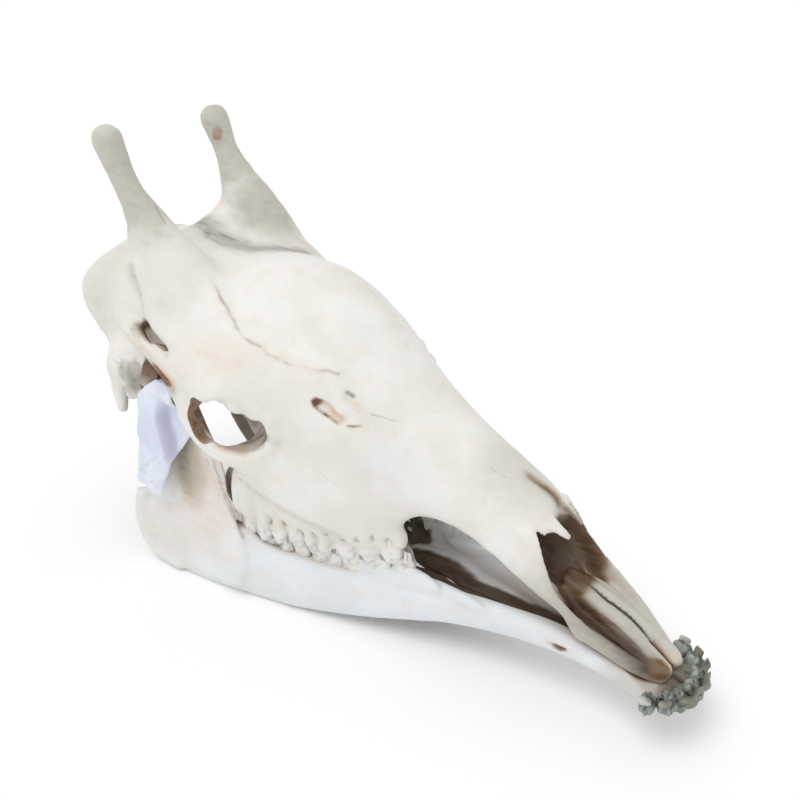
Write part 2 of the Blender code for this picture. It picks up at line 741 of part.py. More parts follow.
def finish(obj, name, colour, roughness):
    """Name, shade and colour a finished piece."""
    obj.name = name
    obj.data.name = name
    for polygon in obj.data.polygons:
        polygon.use_smooth = True
    material = bpy.data.materials.new(name)
    material.use_nodes = True
    shader = material.node_tree.nodes["Principled BSDF"]
    shader.inputs["Base Color"].default_value = (*colour, 1.0)
    shader.inputs["Roughness"].default_value = roughness
    shader.inputs["Metallic"].default_value = 0.0
    obj.data.materials.clear()
    obj.data.materials.append(material)
    return obj


def main():
    """Build every piece."""
    scene_clear()
    cranium, horns = upper_skull()
    finish(cranium, "cranium", (0.78, 0.77, 0.72), 0.55)
    finish(horns[0], "ossicone_left", (0.62, 0.62, 0.6), 0.6)
    finish(horns[1], "ossicone_right", (0.62, 0.62, 0.6), 0.6)
    bone = muzzle_bone(PLATE_LEFT)
    unturned = muzzle_bone(PLATE_RIGHT)
    other = flipped(unturned)
    finish(bone, "premaxilla_left", (0.5, 0.48, 0.42), 0.55)
    finish(other, "premaxilla_right", (0.5, 0.48, 0.42), 0.55)
    jaw = jaw_half(cranium, [bone, unturned])
    remove([unturned])
    jaw_other = flipped(jaw)
    wrap = jaw_wrap(jaw, cranium)
    wrap_other = flipped(wrap)
    finish(wrap, "jaw_wrap_left", (0.72, 0.79, 0.9), 0.8)
    finish(wrap_other, "jaw_wrap_right", (0.72, 0.79, 0.9), 0.8)
    finish(jaw, "mandible_left", (0.74, 0.76, 0.76), 0.5)
    finish(jaw_other, "mandible_right", (0.74, 0.76, 0.76), 0.5)


main()
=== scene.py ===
"""Giraffe skull with its lower jaw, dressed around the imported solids.

Places in this file are in millimetres: x forward from the back of the skull, y to the animal's
left and z up from the floor, as in the part's source. The function place turns them into the
frame's metres.
"""
from __future__ import annotations

import logging
import math
from dataclasses import dataclass
from enum import Enum

import bmesh
import bpy
import numpy as np
from mathutils import Matrix, Vector, noise
from mathutils.bvhtree import BVHTree

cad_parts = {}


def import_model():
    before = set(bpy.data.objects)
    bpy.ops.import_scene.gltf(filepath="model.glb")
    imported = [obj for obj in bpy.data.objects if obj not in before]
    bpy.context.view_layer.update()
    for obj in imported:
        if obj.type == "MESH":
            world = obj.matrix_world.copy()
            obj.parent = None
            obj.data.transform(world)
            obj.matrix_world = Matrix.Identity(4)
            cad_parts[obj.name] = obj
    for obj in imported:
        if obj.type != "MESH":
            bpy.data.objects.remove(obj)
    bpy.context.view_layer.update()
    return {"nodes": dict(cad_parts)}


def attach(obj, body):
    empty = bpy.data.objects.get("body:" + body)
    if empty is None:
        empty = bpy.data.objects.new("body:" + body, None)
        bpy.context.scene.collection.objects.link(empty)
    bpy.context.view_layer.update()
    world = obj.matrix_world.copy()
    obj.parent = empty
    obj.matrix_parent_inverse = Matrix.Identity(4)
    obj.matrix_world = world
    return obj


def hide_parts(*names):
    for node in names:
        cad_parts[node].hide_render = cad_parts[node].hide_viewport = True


LOG = logging.getLogger("giraffe_skull")

# Metres in a millimetre, and the part's own x at the middle of the frame.
MM = 0.001
MIDDLE = 292.4

Point = tuple[float, float, float]
Colour = tuple[float, float, float]
Span = tuple[float, float]
CrownShape = tuple[np.ndarray, np.ndarray, np.ndarray]
Socket = bpy.types.NodeSocket
Body = bpy.types.Object


class Side(Enum):
    """Side of the animal, as the sign of y."""

    LEFT = 1
    RIGHT = -1
    BOTH = 0

    @property
    def label(self) -> str:
        """Name of the side in lower case."""
        return self.name.lower()


class Brush(Enum):
    """What a mark changes on the bone; the stain brush also paints shade in hollows and between parts, and
    the deep brush paints the near-black of holes as painted shade.
    """

    LIFT = "lift"
    STAIN = "stain"
    DEEP = "deep"
    SHADE = "shade"
    WARM = "warm"
    COOL = "cool"
    GREY = "grey"


LEFT, RIGHT, BOTH = Side
SIDES = (LEFT, RIGHT)
SIGNS = (1.0, -1.0)
LIFT, STAIN, DEEP, SHADE, WARM, COOL, GREY = Brush
PAINTS = (STAIN, DEEP, SHADE, WARM, COOL, GREY)
UNPRESSED = "unpressed"

# Seed of the noise that makes marks ragged, which is otherwise taken from the clock.
NOISE_SEED = 1795799883


def place(point: Point) -> Vector:
    """Turn a place in millimetres into the frame's metres.

    Args:
        point: x from the back of the skull, y to the left and z from the floor.

    Returns:
        The same place in the frame.
    """
    x, y, z = point
    return Vector(((x - MIDDLE) * MM, y * MM, z * MM))


def deselect() -> None:
    """Leave object mode with nothing selected."""
    if bpy.context.mode != "OBJECT":
        bpy.ops.object.mode_set(mode="OBJECT")
    bpy.ops.object.select_all(action="DESELECT")


def activate(*objects: Body) -> None:
    """Select the given objects alone, the first one active.

    Args:
        objects: Objects to select.
    """
    deselect()
    for item in objects:
        item.select_set(True)
    bpy.context.view_layer.objects.active = objects[0]


def edit(obj: Body) -> None:
    """Open the object in edit mode with everything selected.

    Args:
        obj: Object to open.
    """
    activate(obj)
    bpy.ops.object.mode_set(mode="EDIT")
    bpy.ops.mesh.select_all(action="SELECT")


def apply_modifiers(obj: Body) -> None:
    """Apply every modifier of the object in turn.

    Args:
        obj: Object to settle.
    """
    activate(obj)
    for modifier in list(obj.modifiers):
        bpy.ops.object.modifier_apply(modifier=modifier.name)
    deselect()


def drop(*objects: Body) -> None:
    """Remove objects and their meshes.

    Args:
        objects: Objects to remove.
    """
    for item in objects:
        mesh = item.data
        bpy.data.objects.remove(item)
        bpy.data.meshes.remove(mesh)


def add_object(name: str, data: bpy.types.ID) -> Body:
    """Put a new object into the scene.

    Args:
        name: Name of the object.
        data: Its mesh, camera or lamp.

    Returns:
        The object.
    """
    obj = bpy.data.objects.new(name, data)
    bpy.context.scene.collection.objects.link(obj)
    return obj


def duplicate(obj: Body, name: str) -> Body:
    """Copy an object with a mesh of its own.

    Args:
        obj: Object to copy.
        name: Name of the copy.

    Returns:
        The copy.
    """
    copy = add_object(name, obj.data.copy())
    copy.data.name = name
    return copy


def copy_of_node(node: Body, name: str) -> Body:
    """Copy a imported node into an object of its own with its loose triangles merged.

    Args:
        node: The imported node.
        name: Name of the copy.

    Returns:
        The merged copy.
    """
    copy = duplicate(node, name)
    copy.data.materials.clear()
    edit(copy)
    bpy.ops.mesh.remove_doubles(threshold=0.00001)
    deselect()
    return copy


def join(parts: list[Body], name: str) -> Body:
    """Join objects into the first of them.

    Args:
        parts: Objects to join.
        name: Name of the result.

    Returns:
        The joined object.
    """
    activate(*parts)
    if len(parts) > 1:
        bpy.ops.object.join()
    parts[0].name = name
    parts[0].data.name = name
    deselect()
    return parts[0]


def grow_together(obj: Body, voxel: float) -> None:
    """Grow the closed shells of the object into one skin of even faces.

    Args:
        obj: Object with overlapping closed shells.
        voxel: Face size in millimetres.
    """
    step = obj.modifiers.new("grown", "REMESH")
    step.mode = "VOXEL"
    step.voxel_size = voxel * MM
    step.use_smooth_shade = True
    apply_modifiers(obj)


def carve(obj: Body, cutter: Body, operation: str = "DIFFERENCE") -> None:
    """Cut the object with a closed cutter, which is then removed.

    Args:
        obj: Object to cut.
        cutter: Closed shell.
        operation: Boolean operation.
    """
    step = obj.modifiers.new("cut", "BOOLEAN")
    step.object = cutter
    step.operation = operation
    step.solver = "EXACT"
    apply_modifiers(obj)
    drop(cutter)


def slice_off(obj: Body, spot: Point, outward: Point) -> None:
    """Cut the object by a plane, remove what is outside it and close the cut.

    Args:
        obj: Object to cut.
        spot: Point on the plane.
        outward: Direction of the removed side.
    """
    edit(obj)
    bpy.ops.mesh.bisect(plane_co=place(spot), plane_no=outward, use_fill=True, clear_outer=True)
    bpy.ops.mesh.quads_convert_to_tris()
    deselect()


def slab(outline: tuple[tuple[float, float], ...], low: float, high: float) -> Body:
    """Closed prism with its outline in x and z, from low to high in y.

    Args:
        outline: Corners as x and z, in order.
        low: Smaller y.
        high: Larger y.

    Returns:
        The prism.
    """
    deselect()
    bpy.ops.mesh.primitive_circle_add(vertices=len(outline), radius=1, fill_type="NGON")
    obj = bpy.context.active_object
    obj.name = "slab"
    for vertex, (x, z) in zip(obj.data.vertices, outline):
        vertex.co = place((x, low, z))
    edit(obj)
    bpy.ops.mesh.extrude_region_move(TRANSFORM_OT_translate={"value": (0, (high - low) * MM, 0)})
    bpy.ops.mesh.select_all(action="SELECT")
    bpy.ops.mesh.normals_make_consistent(inside=False)
    deselect()
    return obj


def lump(centre: Point, radii: Point, tilt: float = 0.0, sign: float = 1.0) -> Body:
    """Closed ellipsoid.

    Args:
        centre: Middle of the ellipsoid, on the left side.
        radii: Reach along each axis.
        tilt: Degrees by which its front end is lowered.
        sign: -1 for its mirror on the right side.

    Returns:
        The ellipsoid.
    """
    deselect()
    bpy.ops.mesh.primitive_ico_sphere_add(subdivisions=4, radius=1.0)
    obj = bpy.context.active_object
    x, y, z = (plain_rows(obj.data) * radii).T
    turn = math.radians(tilt)
    turned = (x * math.cos(turn) + z * math.sin(turn), y, z * math.cos(turn) - x * math.sin(turn))
    set_rows(obj.data, (np.stack(turned, axis=1) + centre) * (1.0, sign, 1.0))
    if sign < 0:
        edit(obj)
        bpy.ops.mesh.flip_normals()
        deselect()
    return obj


def plain_rows(mesh: bpy.types.Mesh) -> np.ndarray:
    """Vertex places of a mesh in its own units.

    Args:
        mesh: Mesh to read.

    Returns:
        One row for each vertex.
    """
    flat = np.empty(len(mesh.vertices) * 3, np.float64)
    mesh.vertices.foreach_get("co", flat)
    return flat.reshape(-1, 3)


def rows_of(mesh: bpy.types.Mesh) -> np.ndarray:
    """Vertex places of a mesh in millimetres in the part's own measure.

    Args:
        mesh: Mesh to read.

    Returns:
        One row for each vertex.
    """
    return plain_rows(mesh) / MM + (MIDDLE, 0.0, 0.0)


def set_rows(mesh: bpy.types.Mesh, rows: np.ndarray) -> None:
    """Write vertex places back to a mesh.

    Args:
        mesh: Mesh to change.
        rows: Places in millimetres in the part's own measure.
    """
    flat = ((rows - (MIDDLE, 0.0, 0.0)) * MM).ravel()
    mesh.vertices.foreach_set("co", flat)
    mesh.update()


def normals_of(mesh: bpy.types.Mesh) -> np.ndarray:
    """Vertex normals of a mesh.

    Args:
        mesh: Mesh to read.

    Returns:
        One row for each vertex.
    """
    flat = np.empty(len(mesh.vertices) * 3, np.float32)
    mesh.vertex_normals.foreach_get("vector", flat)
    return flat.reshape(-1, 3).astype(np.float64)


def write_mask(mesh: bpy.types.Mesh, label: str, values: np.ndarray) -> None:
    """Store a value from 0 to 1 for each vertex.

    Args:
        mesh: Mesh to write to.
        label: Name of the attribute.
        values: One value for each vertex.
    """
    layer = mesh.attributes.new(label, "FLOAT", "POINT")
    layer.data.foreach_set("value", np.clip(values, 0.0, 1.0).astype(np.float32))


def smoothstep(values: np.ndarray | float, low: float, high: float) -> np.ndarray:
    """Spread values from low to high over 0 to 1 with soft ends.

    Args:
        values: Values to spread.
        low: Value that gives 0.
        high: Value that gives 1.

    Returns:
        The spread values.
    """
    t = np.clip((values - low) / (high - low), 0.0, 1.0)
    return t * t * (3 - 2 * t)


def below(values: np.ndarray, high: float, low: float) -> np.ndarray:
    """Spread values that fall from high to low over 0 to 1 with soft ends.

    Args:
        values: Values to spread.
        high: Value that gives 0.
        low: Value that gives 1.

    Returns:
        The spread values.
    """
    return smoothstep(-values, -high, -low)


def wander(rows: np.ndarray, reach: float, size: float = 8.0) -> np.ndarray:
    """Smooth random shift of each place.

    Args:
        rows: Places in millimetres.
        reach: Largest shift.
        size: Distance over which the shift changes.

    Returns:
        A shift for each place.
    """
    shifts = [noise.noise_vector(Vector(row)) for row in rows / size]
    return np.array(shifts).reshape(-1, 3) * reach


def ripple(rows: np.ndarray, size: float, seed: float = 0.0) -> np.ndarray:
    """Smooth random value of each place, about -1 to 1.

    Args:
        rows: Places in millimetres.
        size: Distance over which the value changes.
        seed: Shift that gives another pattern.

    Returns:
        A value for each place.
    """
    return np.array([noise.noise(Vector(row)) for row in rows / size + seed])


class Relaxer:
    """Smooths values over the edges of a mesh."""

    SHRINK = 0.55
    SWELL = -0.50

    def __init__(self, mesh: bpy.types.Mesh) -> None:
        """Read the edges of the mesh.

        Args:
            mesh: Mesh to smooth over.
        """
        flat = np.empty(len(mesh.edges) * 2, np.int64)
        mesh.edges.foreach_get("vertices", flat)
        self.start, self.end = flat.reshape(-1, 2).T
        self.count = len(mesh.vertices)
        links = np.bincount(self.start, minlength=self.count)
        links = links + np.bincount(self.end, minlength=self.count)
        self.links = np.maximum(links, 1).astype(np.float64)

    def mean(self, values: np.ndarray) -> np.ndarray:
        """Average of each vertex's neighbours.

        Args:
            values: One row for each vertex.

        Returns:
            The neighbours' mean for each vertex.
        """
        columns = []
        for column in np.atleast_2d(values.T):
            total = np.bincount(self.start, column[self.end], self.count)
            total += np.bincount(self.end, column[self.start], self.count)
            columns.append(total / self.links)
        return np.array(columns).T.reshape(values.shape)

    def soften(self, values: np.ndarray, passes: int, weight: np.ndarray | float = 1.0) -> np.ndarray:
        """Smooth the values without shrinking the form.

        Args:
            values: One row for each vertex.
            passes: Number of smoothing steps.
            weight: How strongly each vertex follows, from 0 to 1.

        Returns:
            The smoothed values.
        """
        amount = np.asarray(weight)
        if values.ndim == 2 and amount.ndim == 1:
            amount = amount[:, None]
        for step in range(passes):
            factor = self.SHRINK if step % 2 == 0 else self.SWELL
            values = values + factor * amount * (self.mean(values) - values)
        return values


@dataclass(frozen=True)
class Smoothing:
    """Smooths the facets of a skin away and leaves its rims and teeth as they are.

    The steps are counted in passes over the mesh. A place bent by more than keep counts as a rim.
    """

    passes: int
    first: int = 8
    blur: int = 10
    widen: int = 4
    even: int = 6
    keep: float = 0.12
    fade: float = 0.7
    least: float = 0.06

    def apply(self, obj: Body) -> None:
        """Smooth the piece.

        Args:
            obj: Piece to smooth.
        """
        mesh = obj.data
        relaxer = Relaxer(mesh)
        rows = relaxer.soften(rows_of(mesh), self.first)
        set_rows(mesh, rows)
        blurred = normals_of(mesh)
        for _ in range(self.blur):
            blurred = relaxer.mean(blurred)
        bend = 1.0 - np.linalg.norm(blurred, axis=1)
        for _ in range(self.widen):
            bend = np.maximum(bend, relaxer.mean(bend))
        weight = np.clip((self.keep - bend) / (self.keep * self.fade), self.least, 1.0)
        for _ in range(self.even):
            weight = relaxer.mean(weight)
        set_rows(mesh, relaxer.soften(rows, self.passes, weight))


@dataclass(frozen=True)
class Mark:
    """Something that shapes or colours the bone over part of its surface, in millimetres.

    ragged is how far its outline wanders. With facing set, it is only on bone turned that way.
    """

    TURNED = (-0.1, 0.5)

    brush: Brush
    amount: float
    side: Side = BOTH
    ragged: float = 0.0
    facing: Point | None = None

    def corners(self, sign: float) -> tuple[np.ndarray, np.ndarray]:
        """Box that holds the mark on one side.

        Args:
            sign: 1 for the mark as given and -1 for its mirror.

        Returns:
            Lowest and highest corner.
        """
        raise NotImplementedError

    def value(self, rows: np.ndarray, sign: float) -> np.ndarray:
        """Share of the mark at places inside its box.

        Args:
            rows: Places in millimetres.
            sign: 1 for the mark as given and -1 for its mirror.

        Returns:
            A value from 0 to 1 for each place.
        """
        raise NotImplementedError

    def strength(self, rows: np.ndarray, normals: np.ndarray) -> np.ndarray:
        """How much of the mark each place gets.

        Args:
            rows: Places in millimetres.
            normals: Directions that the places face.

        Returns:
            A value from 0 to the mark's amount for each place.
        """
        out = np.zeros(len(rows))
        signs = SIGNS if self.side is BOTH else SIGNS[:1]
        for sign in signs:
            low, high = self.corners(sign)
            near = np.flatnonzero(((rows > low) & (rows < high)).all(axis=1))
            if not len(near):
                continue
            here = rows[near]
            if self.ragged:
                here = here + wander(here, self.ragged)
            value = self.value(here, sign)
            if self.facing:
                toward = np.array(self.facing) * (1.0, sign, 1.0)
                value = value * smoothstep(normals[near] @ toward, *self.TURNED)
            out[near] = np.maximum(out[near], value)
        return out * self.amount


@dataclass(frozen=True)
class Stroke(Mark):
    """A brush stroke along points on the bone."""

    FALL = 1.4
    REACH = 2.4

    width: float = 2.0
    points: tuple[Point, ...] = ()

    def corners(self, sign: float) -> tuple[np.ndarray, np.ndarray]:
        """Box round the stroke on one side.

        Args:
            sign: 1 for the mark as given and -1 for its mirror.

        Returns:
            Lowest and highest corner.
        """
        run = np.array(self.points, float) * (1.0, sign, 1.0)
        reach = self.width * self.REACH + self.ragged
        return run.min(axis=0) - reach, run.max(axis=0) + reach

    def value(self, rows: np.ndarray, sign: float) -> np.ndarray:
        """Share of the stroke, falling off from its line.

        Args:
            rows: Places in millimetres.
            sign: 1 for the mark as given and -1 for its mirror.

        Returns:
            A value from 0 to 1 for each place.
        """
        run = np.array(self.points, float) * (1.0, sign, 1.0)
        best = np.full(len(rows), np.inf)
        for a, b in zip(run[:-1], run[1:]):
            along = b - a
            t = np.clip((rows - a) @ along / (along @ along), 0.0, 1.0)
            best = np.minimum(best, np.linalg.norm(rows - a - t[:, None] * along, axis=1))
        return np.exp(-(best / self.width) ** 2 * self.FALL)


@dataclass(frozen=True)
class Blot(Mark):
    """A soft ellipsoid."""

    centre: Point = (0.0, 0.0, 0.0)
    radii: Point = (1.0, 1.0, 1.0)
    edge: float = 0.25

    def corners(self, sign: float) -> tuple[np.ndarray, np.ndarray]:
        """Box round the blot on one side.

        Args:
            sign: 1 for the mark as given and -1 for its mirror.

        Returns:
            Lowest and highest corner.
        """
        middle = np.array(self.centre) * (1.0, sign, 1.0)
        room = np.array(self.radii) * (1.0 + self.edge) + self.ragged
        return middle - room, middle + room

    def value(self, rows: np.ndarray, sign: float) -> np.ndarray:
        """Share of the blot, full inside and soft at its edge.

        Args:
            rows: Places in millimetres.
            sign: 1 for the mark as given and -1 for its mirror.

        Returns:
            A value from 0 to 1 for each place.
        """
        middle = np.array(self.centre) * (1.0, sign, 1.0)
        reach = np.linalg.norm((rows - middle) / self.radii, axis=1)
        return smoothstep(1.0 + self.edge - reach, 0.0, 2 * self.edge)


@dataclass(frozen=True)
class Sculptor:
    """Marks that shape and colour a bone's skin.

    Hollows that see little sky get brown and near-black paint, stain together with painted shade, and
    those inside the dens are darkest. Each span gives the openness at which that paint begins and the
    one at which it is full.
    """

    marks: tuple[Mark, ...]
    dens: tuple[Mark, ...] = ()
    fine: float = 2.6
    margin: float = 2.0
    enough: float = 0.3
    even: int = 2
    stain_span: Span = (0.48, 0.22)
    warm_span: Span = (0.72, 0.5)
    deep_span: Span = (0.16, 0.02)
    stained: float = 0.9
    warmed: float = 0.3
    deepened: float = 0.7
    den_stain_span: Span = (0.74, 0.5)
    den_deep_span: Span = (0.5, 0.1)
    den_deepened: float = 0.75

    def refine(self, obj: Body) -> None:
        """Divide the faces near fine grooves and ridges.

        Args:
            obj: Piece to refine.
        """
        rows = rows_of(obj.data)
        near = np.zeros(len(rows), bool)
        for mark in self.marks:
            if mark.brush is LIFT and isinstance(mark, Stroke) and mark.width < self.fine:
                wide = Stroke(LIFT, 1.0, mark.side, width=mark.width + self.margin, points=mark.points)
                near |= wide.strength(rows, rows) > self.enough
        bm = bmesh.new()
        bm.from_mesh(obj.data)
        bm.verts.ensure_lookup_table()
        edges = list({e for f in bm.faces if all(near[v.index] for v in f.verts) for e in f.edges})
        bmesh.ops.subdivide_edges(bm, edges=edges, cuts=1, use_grid_fill=True)
        bm.to_mesh(obj.data)
        bm.free()

    def press(self, obj: Body) -> None:
        """Push grooves in and ridges out along the normals, and keep the places from before.

        Args:
            obj: Piece to shape.
        """
        rows = rows_of(obj.data)
        out = normals_of(obj.data)
        lift = np.zeros(len(rows))
        for mark in self.marks:
            if mark.brush is LIFT:
                lift += mark.strength(rows, out)
        layer = obj.data.attributes.new(UNPRESSED, "FLOAT_VECTOR", "POINT")
        layer.data.foreach_set("vector", rows.astype(np.float32).ravel())
        set_rows(obj.data, rows + out * lift[:, None])

    def paint(self, obj: Body, tree: BVHTree) -> None:
        """Write the paint masks to the piece as attributes, from its places before pressing.

        Args:
            obj: Piece to paint.
            tree: All the bone around it, for the hollows.
        """
        layer = obj.data.attributes[UNPRESSED]
        flat = np.empty(len(obj.data.vertices) * 3, np.float32)
        layer.data.foreach_get("vector", flat)
        obj.data.attributes.remove(layer)
        rows = flat.reshape(-1, 3).astype(np.float64)
        normals = normals_of(obj.data)
        openness = openness_of(obj, tree)
        relaxer = Relaxer(obj.data)
        for _ in range(self.even):
            openness = relaxer.mean(openness)
        # Paint from openness: brown, a warm tint and near-black in hollows, stain together with painted
        # shade.
        dirt_and_shade = {STAIN: below(openness, *self.stain_span) * self.stained,
                WARM: below(openness, *self.warm_span) * self.warmed,
                DEEP: below(openness, *self.deep_span) * self.deepened}
        for mark in self.dens:
            share = mark.strength(rows, normals)
            dirt_and_shade[STAIN] = np.maximum(dirt_and_shade[STAIN], below(openness, *self.den_stain_span) * share)
            deep = below(openness, *self.den_deep_span) * self.den_deepened
            dirt_and_shade[DEEP] = np.maximum(dirt_and_shade[DEEP], deep * share)
        for brush in PAINTS:
            mask = dirt_and_shade.get(brush, np.zeros(len(rows)))
            for mark in self.marks:
                if mark.brush is brush:
                    mask = np.maximum(mask, mark.strength(rows, normals))
            write_mask(obj.data, brush.value, mask)


def openness_of(obj: Body, tree: BVHTree, rays: int = 12, reach: float = 0.055, spread: float = 0.92,
                off: float = 0.0012) -> np.ndarray:
    """Share of the sky that each vertex sees over a short reach.

    Args:
        obj: Piece to measure.
        tree: All the bone around it.
        rays: Number of directions for each vertex.
        reach: How far a ray looks, in metres.
        spread: Share of the half sphere that the rays cover.
        off: Height over the surface at which a ray starts, in metres.

    Returns:
        A value from 0 to 1 for each vertex.
    """
    golden = math.pi * (3.0 - math.sqrt(5.0))
    fan = []
    for k in range(rays):
        lift = 1.0 - (k + 0.5) / rays * spread
        ring = math.sqrt(1.0 - lift * lift)
        fan.append((ring * math.cos(golden * k), ring * math.sin(golden * k), lift))
    out = np.empty(len(obj.data.vertices))
    for i, vertex in enumerate(obj.data.vertices):
        normal = vertex.normal
        side = normal.orthogonal().normalized()
        over = normal.cross(side)
        start = vertex.co + normal * off
        free = 0
        for x, y, z in fan:
            free += tree.ray_cast(start, side * x + over * y + normal * z, reach)[0] is None
        out[i] = free / rays
    return out


def tree_of(objects: list[Body]) -> BVHTree:
    """One search tree over the faces of several objects.

    Args:
        objects: Objects to search.

    Returns:
        The tree.
    """
    points, faces = [], []
    for obj in objects:
        start = len(points)
        points += [v.co.copy() for v in obj.data.vertices]
        faces += [[start + i for i in p.vertices] for p in obj.data.polygons]
    return BVHTree.FromPolygons(points, faces)


class Graph:
    """A node tree that is being wired."""

    def __init__(self, tree: bpy.types.NodeTree) -> None:
        """Take the tree to wire.

        Args:
            tree: Node tree of a material or a group.
        """
        self.tree = tree

    def add(self, kind: str, settings: dict | None = None, **inputs: object) -> bpy.types.Node:
        """Add a node, set its properties and feed its inputs.

        Args:
            kind: Node type.
            settings: Properties of the node itself.
            inputs: Values or sockets for its inputs, by name with _ for a space or iN for a number.

        Returns:
            The new node.
        """
        node = self.tree.nodes.new(kind)
        for key, value in (settings or {}).items():
            setattr(node, key, value)
        for key, value in inputs.items():
            numbered = key[0] == "i" and key[1:].isdigit()
            socket = node.inputs[int(key[1:])] if numbered else node.inputs[key.replace("_", " ")]
            if isinstance(value, Socket):
                self.tree.links.new(value, socket)
            else:
                socket.default_value = value
        return node

    def blend(self, factor: object, first: object, second: object, mode: str = "MIX") -> Socket:
        """Mix two colours and give the result.

        Args:
            factor: Mask or number.
            first: Colour where the factor is 0.
            second: Colour where the factor is 1.
            mode: Way of mixing.

        Returns:
            The mixed colour's socket.
        """
        settings = {"data_type": "RGBA", "blend_type": mode}
        return self.add("ShaderNodeMix", settings, i0=factor, i6=first, i7=second).outputs[2]

    def math(self, operation: str, first: object, second: object = 0.0, third: float = 0.0,
             clamp: bool = False) -> Socket:
        """Work out one number from others.

        Args:
            operation: Blender's name of the operation.
            first: First value.
            second: Second value.
            third: Third value, where the operation has one.
            clamp: Whether the result is held from 0 to 1.

        Returns:
            The result's socket.
        """
        settings = {"operation": operation, "use_clamp": clamp}
        return self.add("ShaderNodeMath", settings, i0=first, i1=second, i2=third).outputs[0]

    def ramp(self, value: Socket, low: float, high: float) -> Socket:
        """Spread a value from low to high over 0 to 1, held at the ends.

        Args:
            value: Value to spread.
            low: Value that gives 0.
            high: Value that gives 1.

        Returns:
            The spread value's socket.
        """
        settings = {"interpolation_type": "SMOOTHSTEP"}
        return self.add("ShaderNodeMapRange", settings, Value=value, i1=low, i2=high).outputs[0]

    def texture(self, vector: Socket, scale: float, detail: float = 3.0, roughness: float = 0.55) -> Socket:
        """Cloud noise at a scale.

        Args:
            vector: Where the pattern is read.
            scale: Repeats to a metre.
            detail: Number of finer layers.
            roughness: Strength of the finer layers.

        Returns:
            The noise value's socket.
        """
        node = self.add("ShaderNodeTexNoise", Vector=vector, Scale=scale, Detail=detail, Roughness=roughness)
        return node.outputs["Fac"]

    def broken(self, mask: Socket, pattern: Socket, share: float) -> Socket:
        """Break a soft mask up with a pattern.

        Args:
            mask: Mask to break up.
            pattern: Pattern from 0 to 1.
            share: How much the pattern takes from or adds to the mask.

        Returns:
            The broken mask's socket.
        """
        factor = self.math("MULTIPLY_ADD", pattern, 2 * share, 1.0 - share)
        return self.math("MULTIPLY", mask, factor, clamp=True)

    def mask(self, label: str) -> Socket:
        """Value of a mesh attribute.

        Args:
            label: Name of the attribute.

        Returns:
            The value's socket.
        """
        return self.add("ShaderNodeAttribute", {"attribute_name": label}).outputs["Fac"]


def rgba(colour: Colour) -> tuple[float, float, float, float]:
    """Give a colour full cover.

    Args:
        colour: Red, green and blue.

    Returns:
        The colour with its fourth value.
    """
    return (*colour, 1.0)


def new_group(name: str, inputs: dict[str, str], outputs: dict[str, str]) -> bpy.types.NodeTree:
    """Make an empty shader group with its sockets.

    Args:
        name: Name of the group.
        inputs: Kind of each input socket by name.
        outputs: Kind of each output socket by name.

    Returns:
        The group with its input and output nodes.
    """
    tree = bpy.data.node_groups.new(name, "ShaderNodeTree")
    for way, sockets in (("INPUT", inputs), ("OUTPUT", outputs)):
        for label, kind in sockets.items():
            tree.interface.new_socket(label, in_out=way, socket_type=f"NodeSocket{kind}")
    tree.nodes.new("NodeGroupInput")
    tree.nodes.new("NodeGroupOutput")
    return tree


class SharedEffects:
    """Shader groups that the finishes share."""

    def __init__(self) -> None:
        """Build the groups once."""
        self.mottle = self.build_mottle()
        self.relief = self.build_relief()

    @staticmethod
    def build_mottle() -> bpy.types.NodeTree:
        """Cloudy patches, fine specks and long streaks of a dry bone.

        Returns:
            Group with the masks Patches, Blotches, Specks and Streaks.
        """
        tree = new_group("bone_mottle", {"Vector": "Vector", "Scale": "Float"},
                         {"Patches": "Float", "Blotches": "Float", "Specks": "Float", "Streaks": "Float"})
        graph = Graph(tree)
        source = tree.nodes["Group Input"].outputs
        result = tree.nodes["Group Output"].inputs
        scaled = graph.add("ShaderNodeVectorMath", {"operation": "SCALE"}, i0=source[0], Scale=source[1])
        vector = scaled.outputs[0]
        long = graph.add("ShaderNodeMapping", Vector=vector, Scale=(0.22, 1.0, 1.0)).outputs[0]
        tree.links.new(graph.ramp(graph.texture(vector, 13.0, 4.0), 0.4, 0.64), result["Patches"])
        tree.links.new(graph.ramp(graph.texture(vector, 34.0, 3.0), 0.5, 0.68), result["Blotches"])
        tree.links.new(graph.ramp(graph.texture(vector, 420.0, 3.0, 0.6), 0.57, 0.7), result["Specks"])
        tree.links.new(graph.ramp(graph.texture(long, 150.0, 3.0, 0.6), 0.46, 0.7), result["Streaks"])
        return tree

    @staticmethod
    def build_relief() -> bpy.types.NodeTree:
        """Fine grain and pores of bone as a height.

        Returns:
            Group with the output Height.
        """
        tree = new_group("bone_relief", {"Vector": "Vector", "Pores": "Float"}, {"Height": "Float"})
        graph = Graph(tree)
        source = tree.nodes["Group Input"].outputs
        result = tree.nodes["Group Output"].inputs
        soft = graph.texture(source[0], 130.0, 5.0, 0.62)
        cells = graph.add("ShaderNodeTexVoronoi", {"feature": "F1"}, Vector=source[0], Scale=620.0)
        pits = graph.math("SUBTRACT", 1.0, graph.ramp(cells.outputs["Distance"], 0.0, 0.34))
        gate = graph.ramp(graph.texture(source[0], 48.0, 2.0), 0.5, 0.62)
        depth = graph.math("MULTIPLY", graph.math("MULTIPLY", pits, gate), source[1])
        tree.links.new(graph.math("SUBTRACT", soft, depth), result["Height"])
        return tree


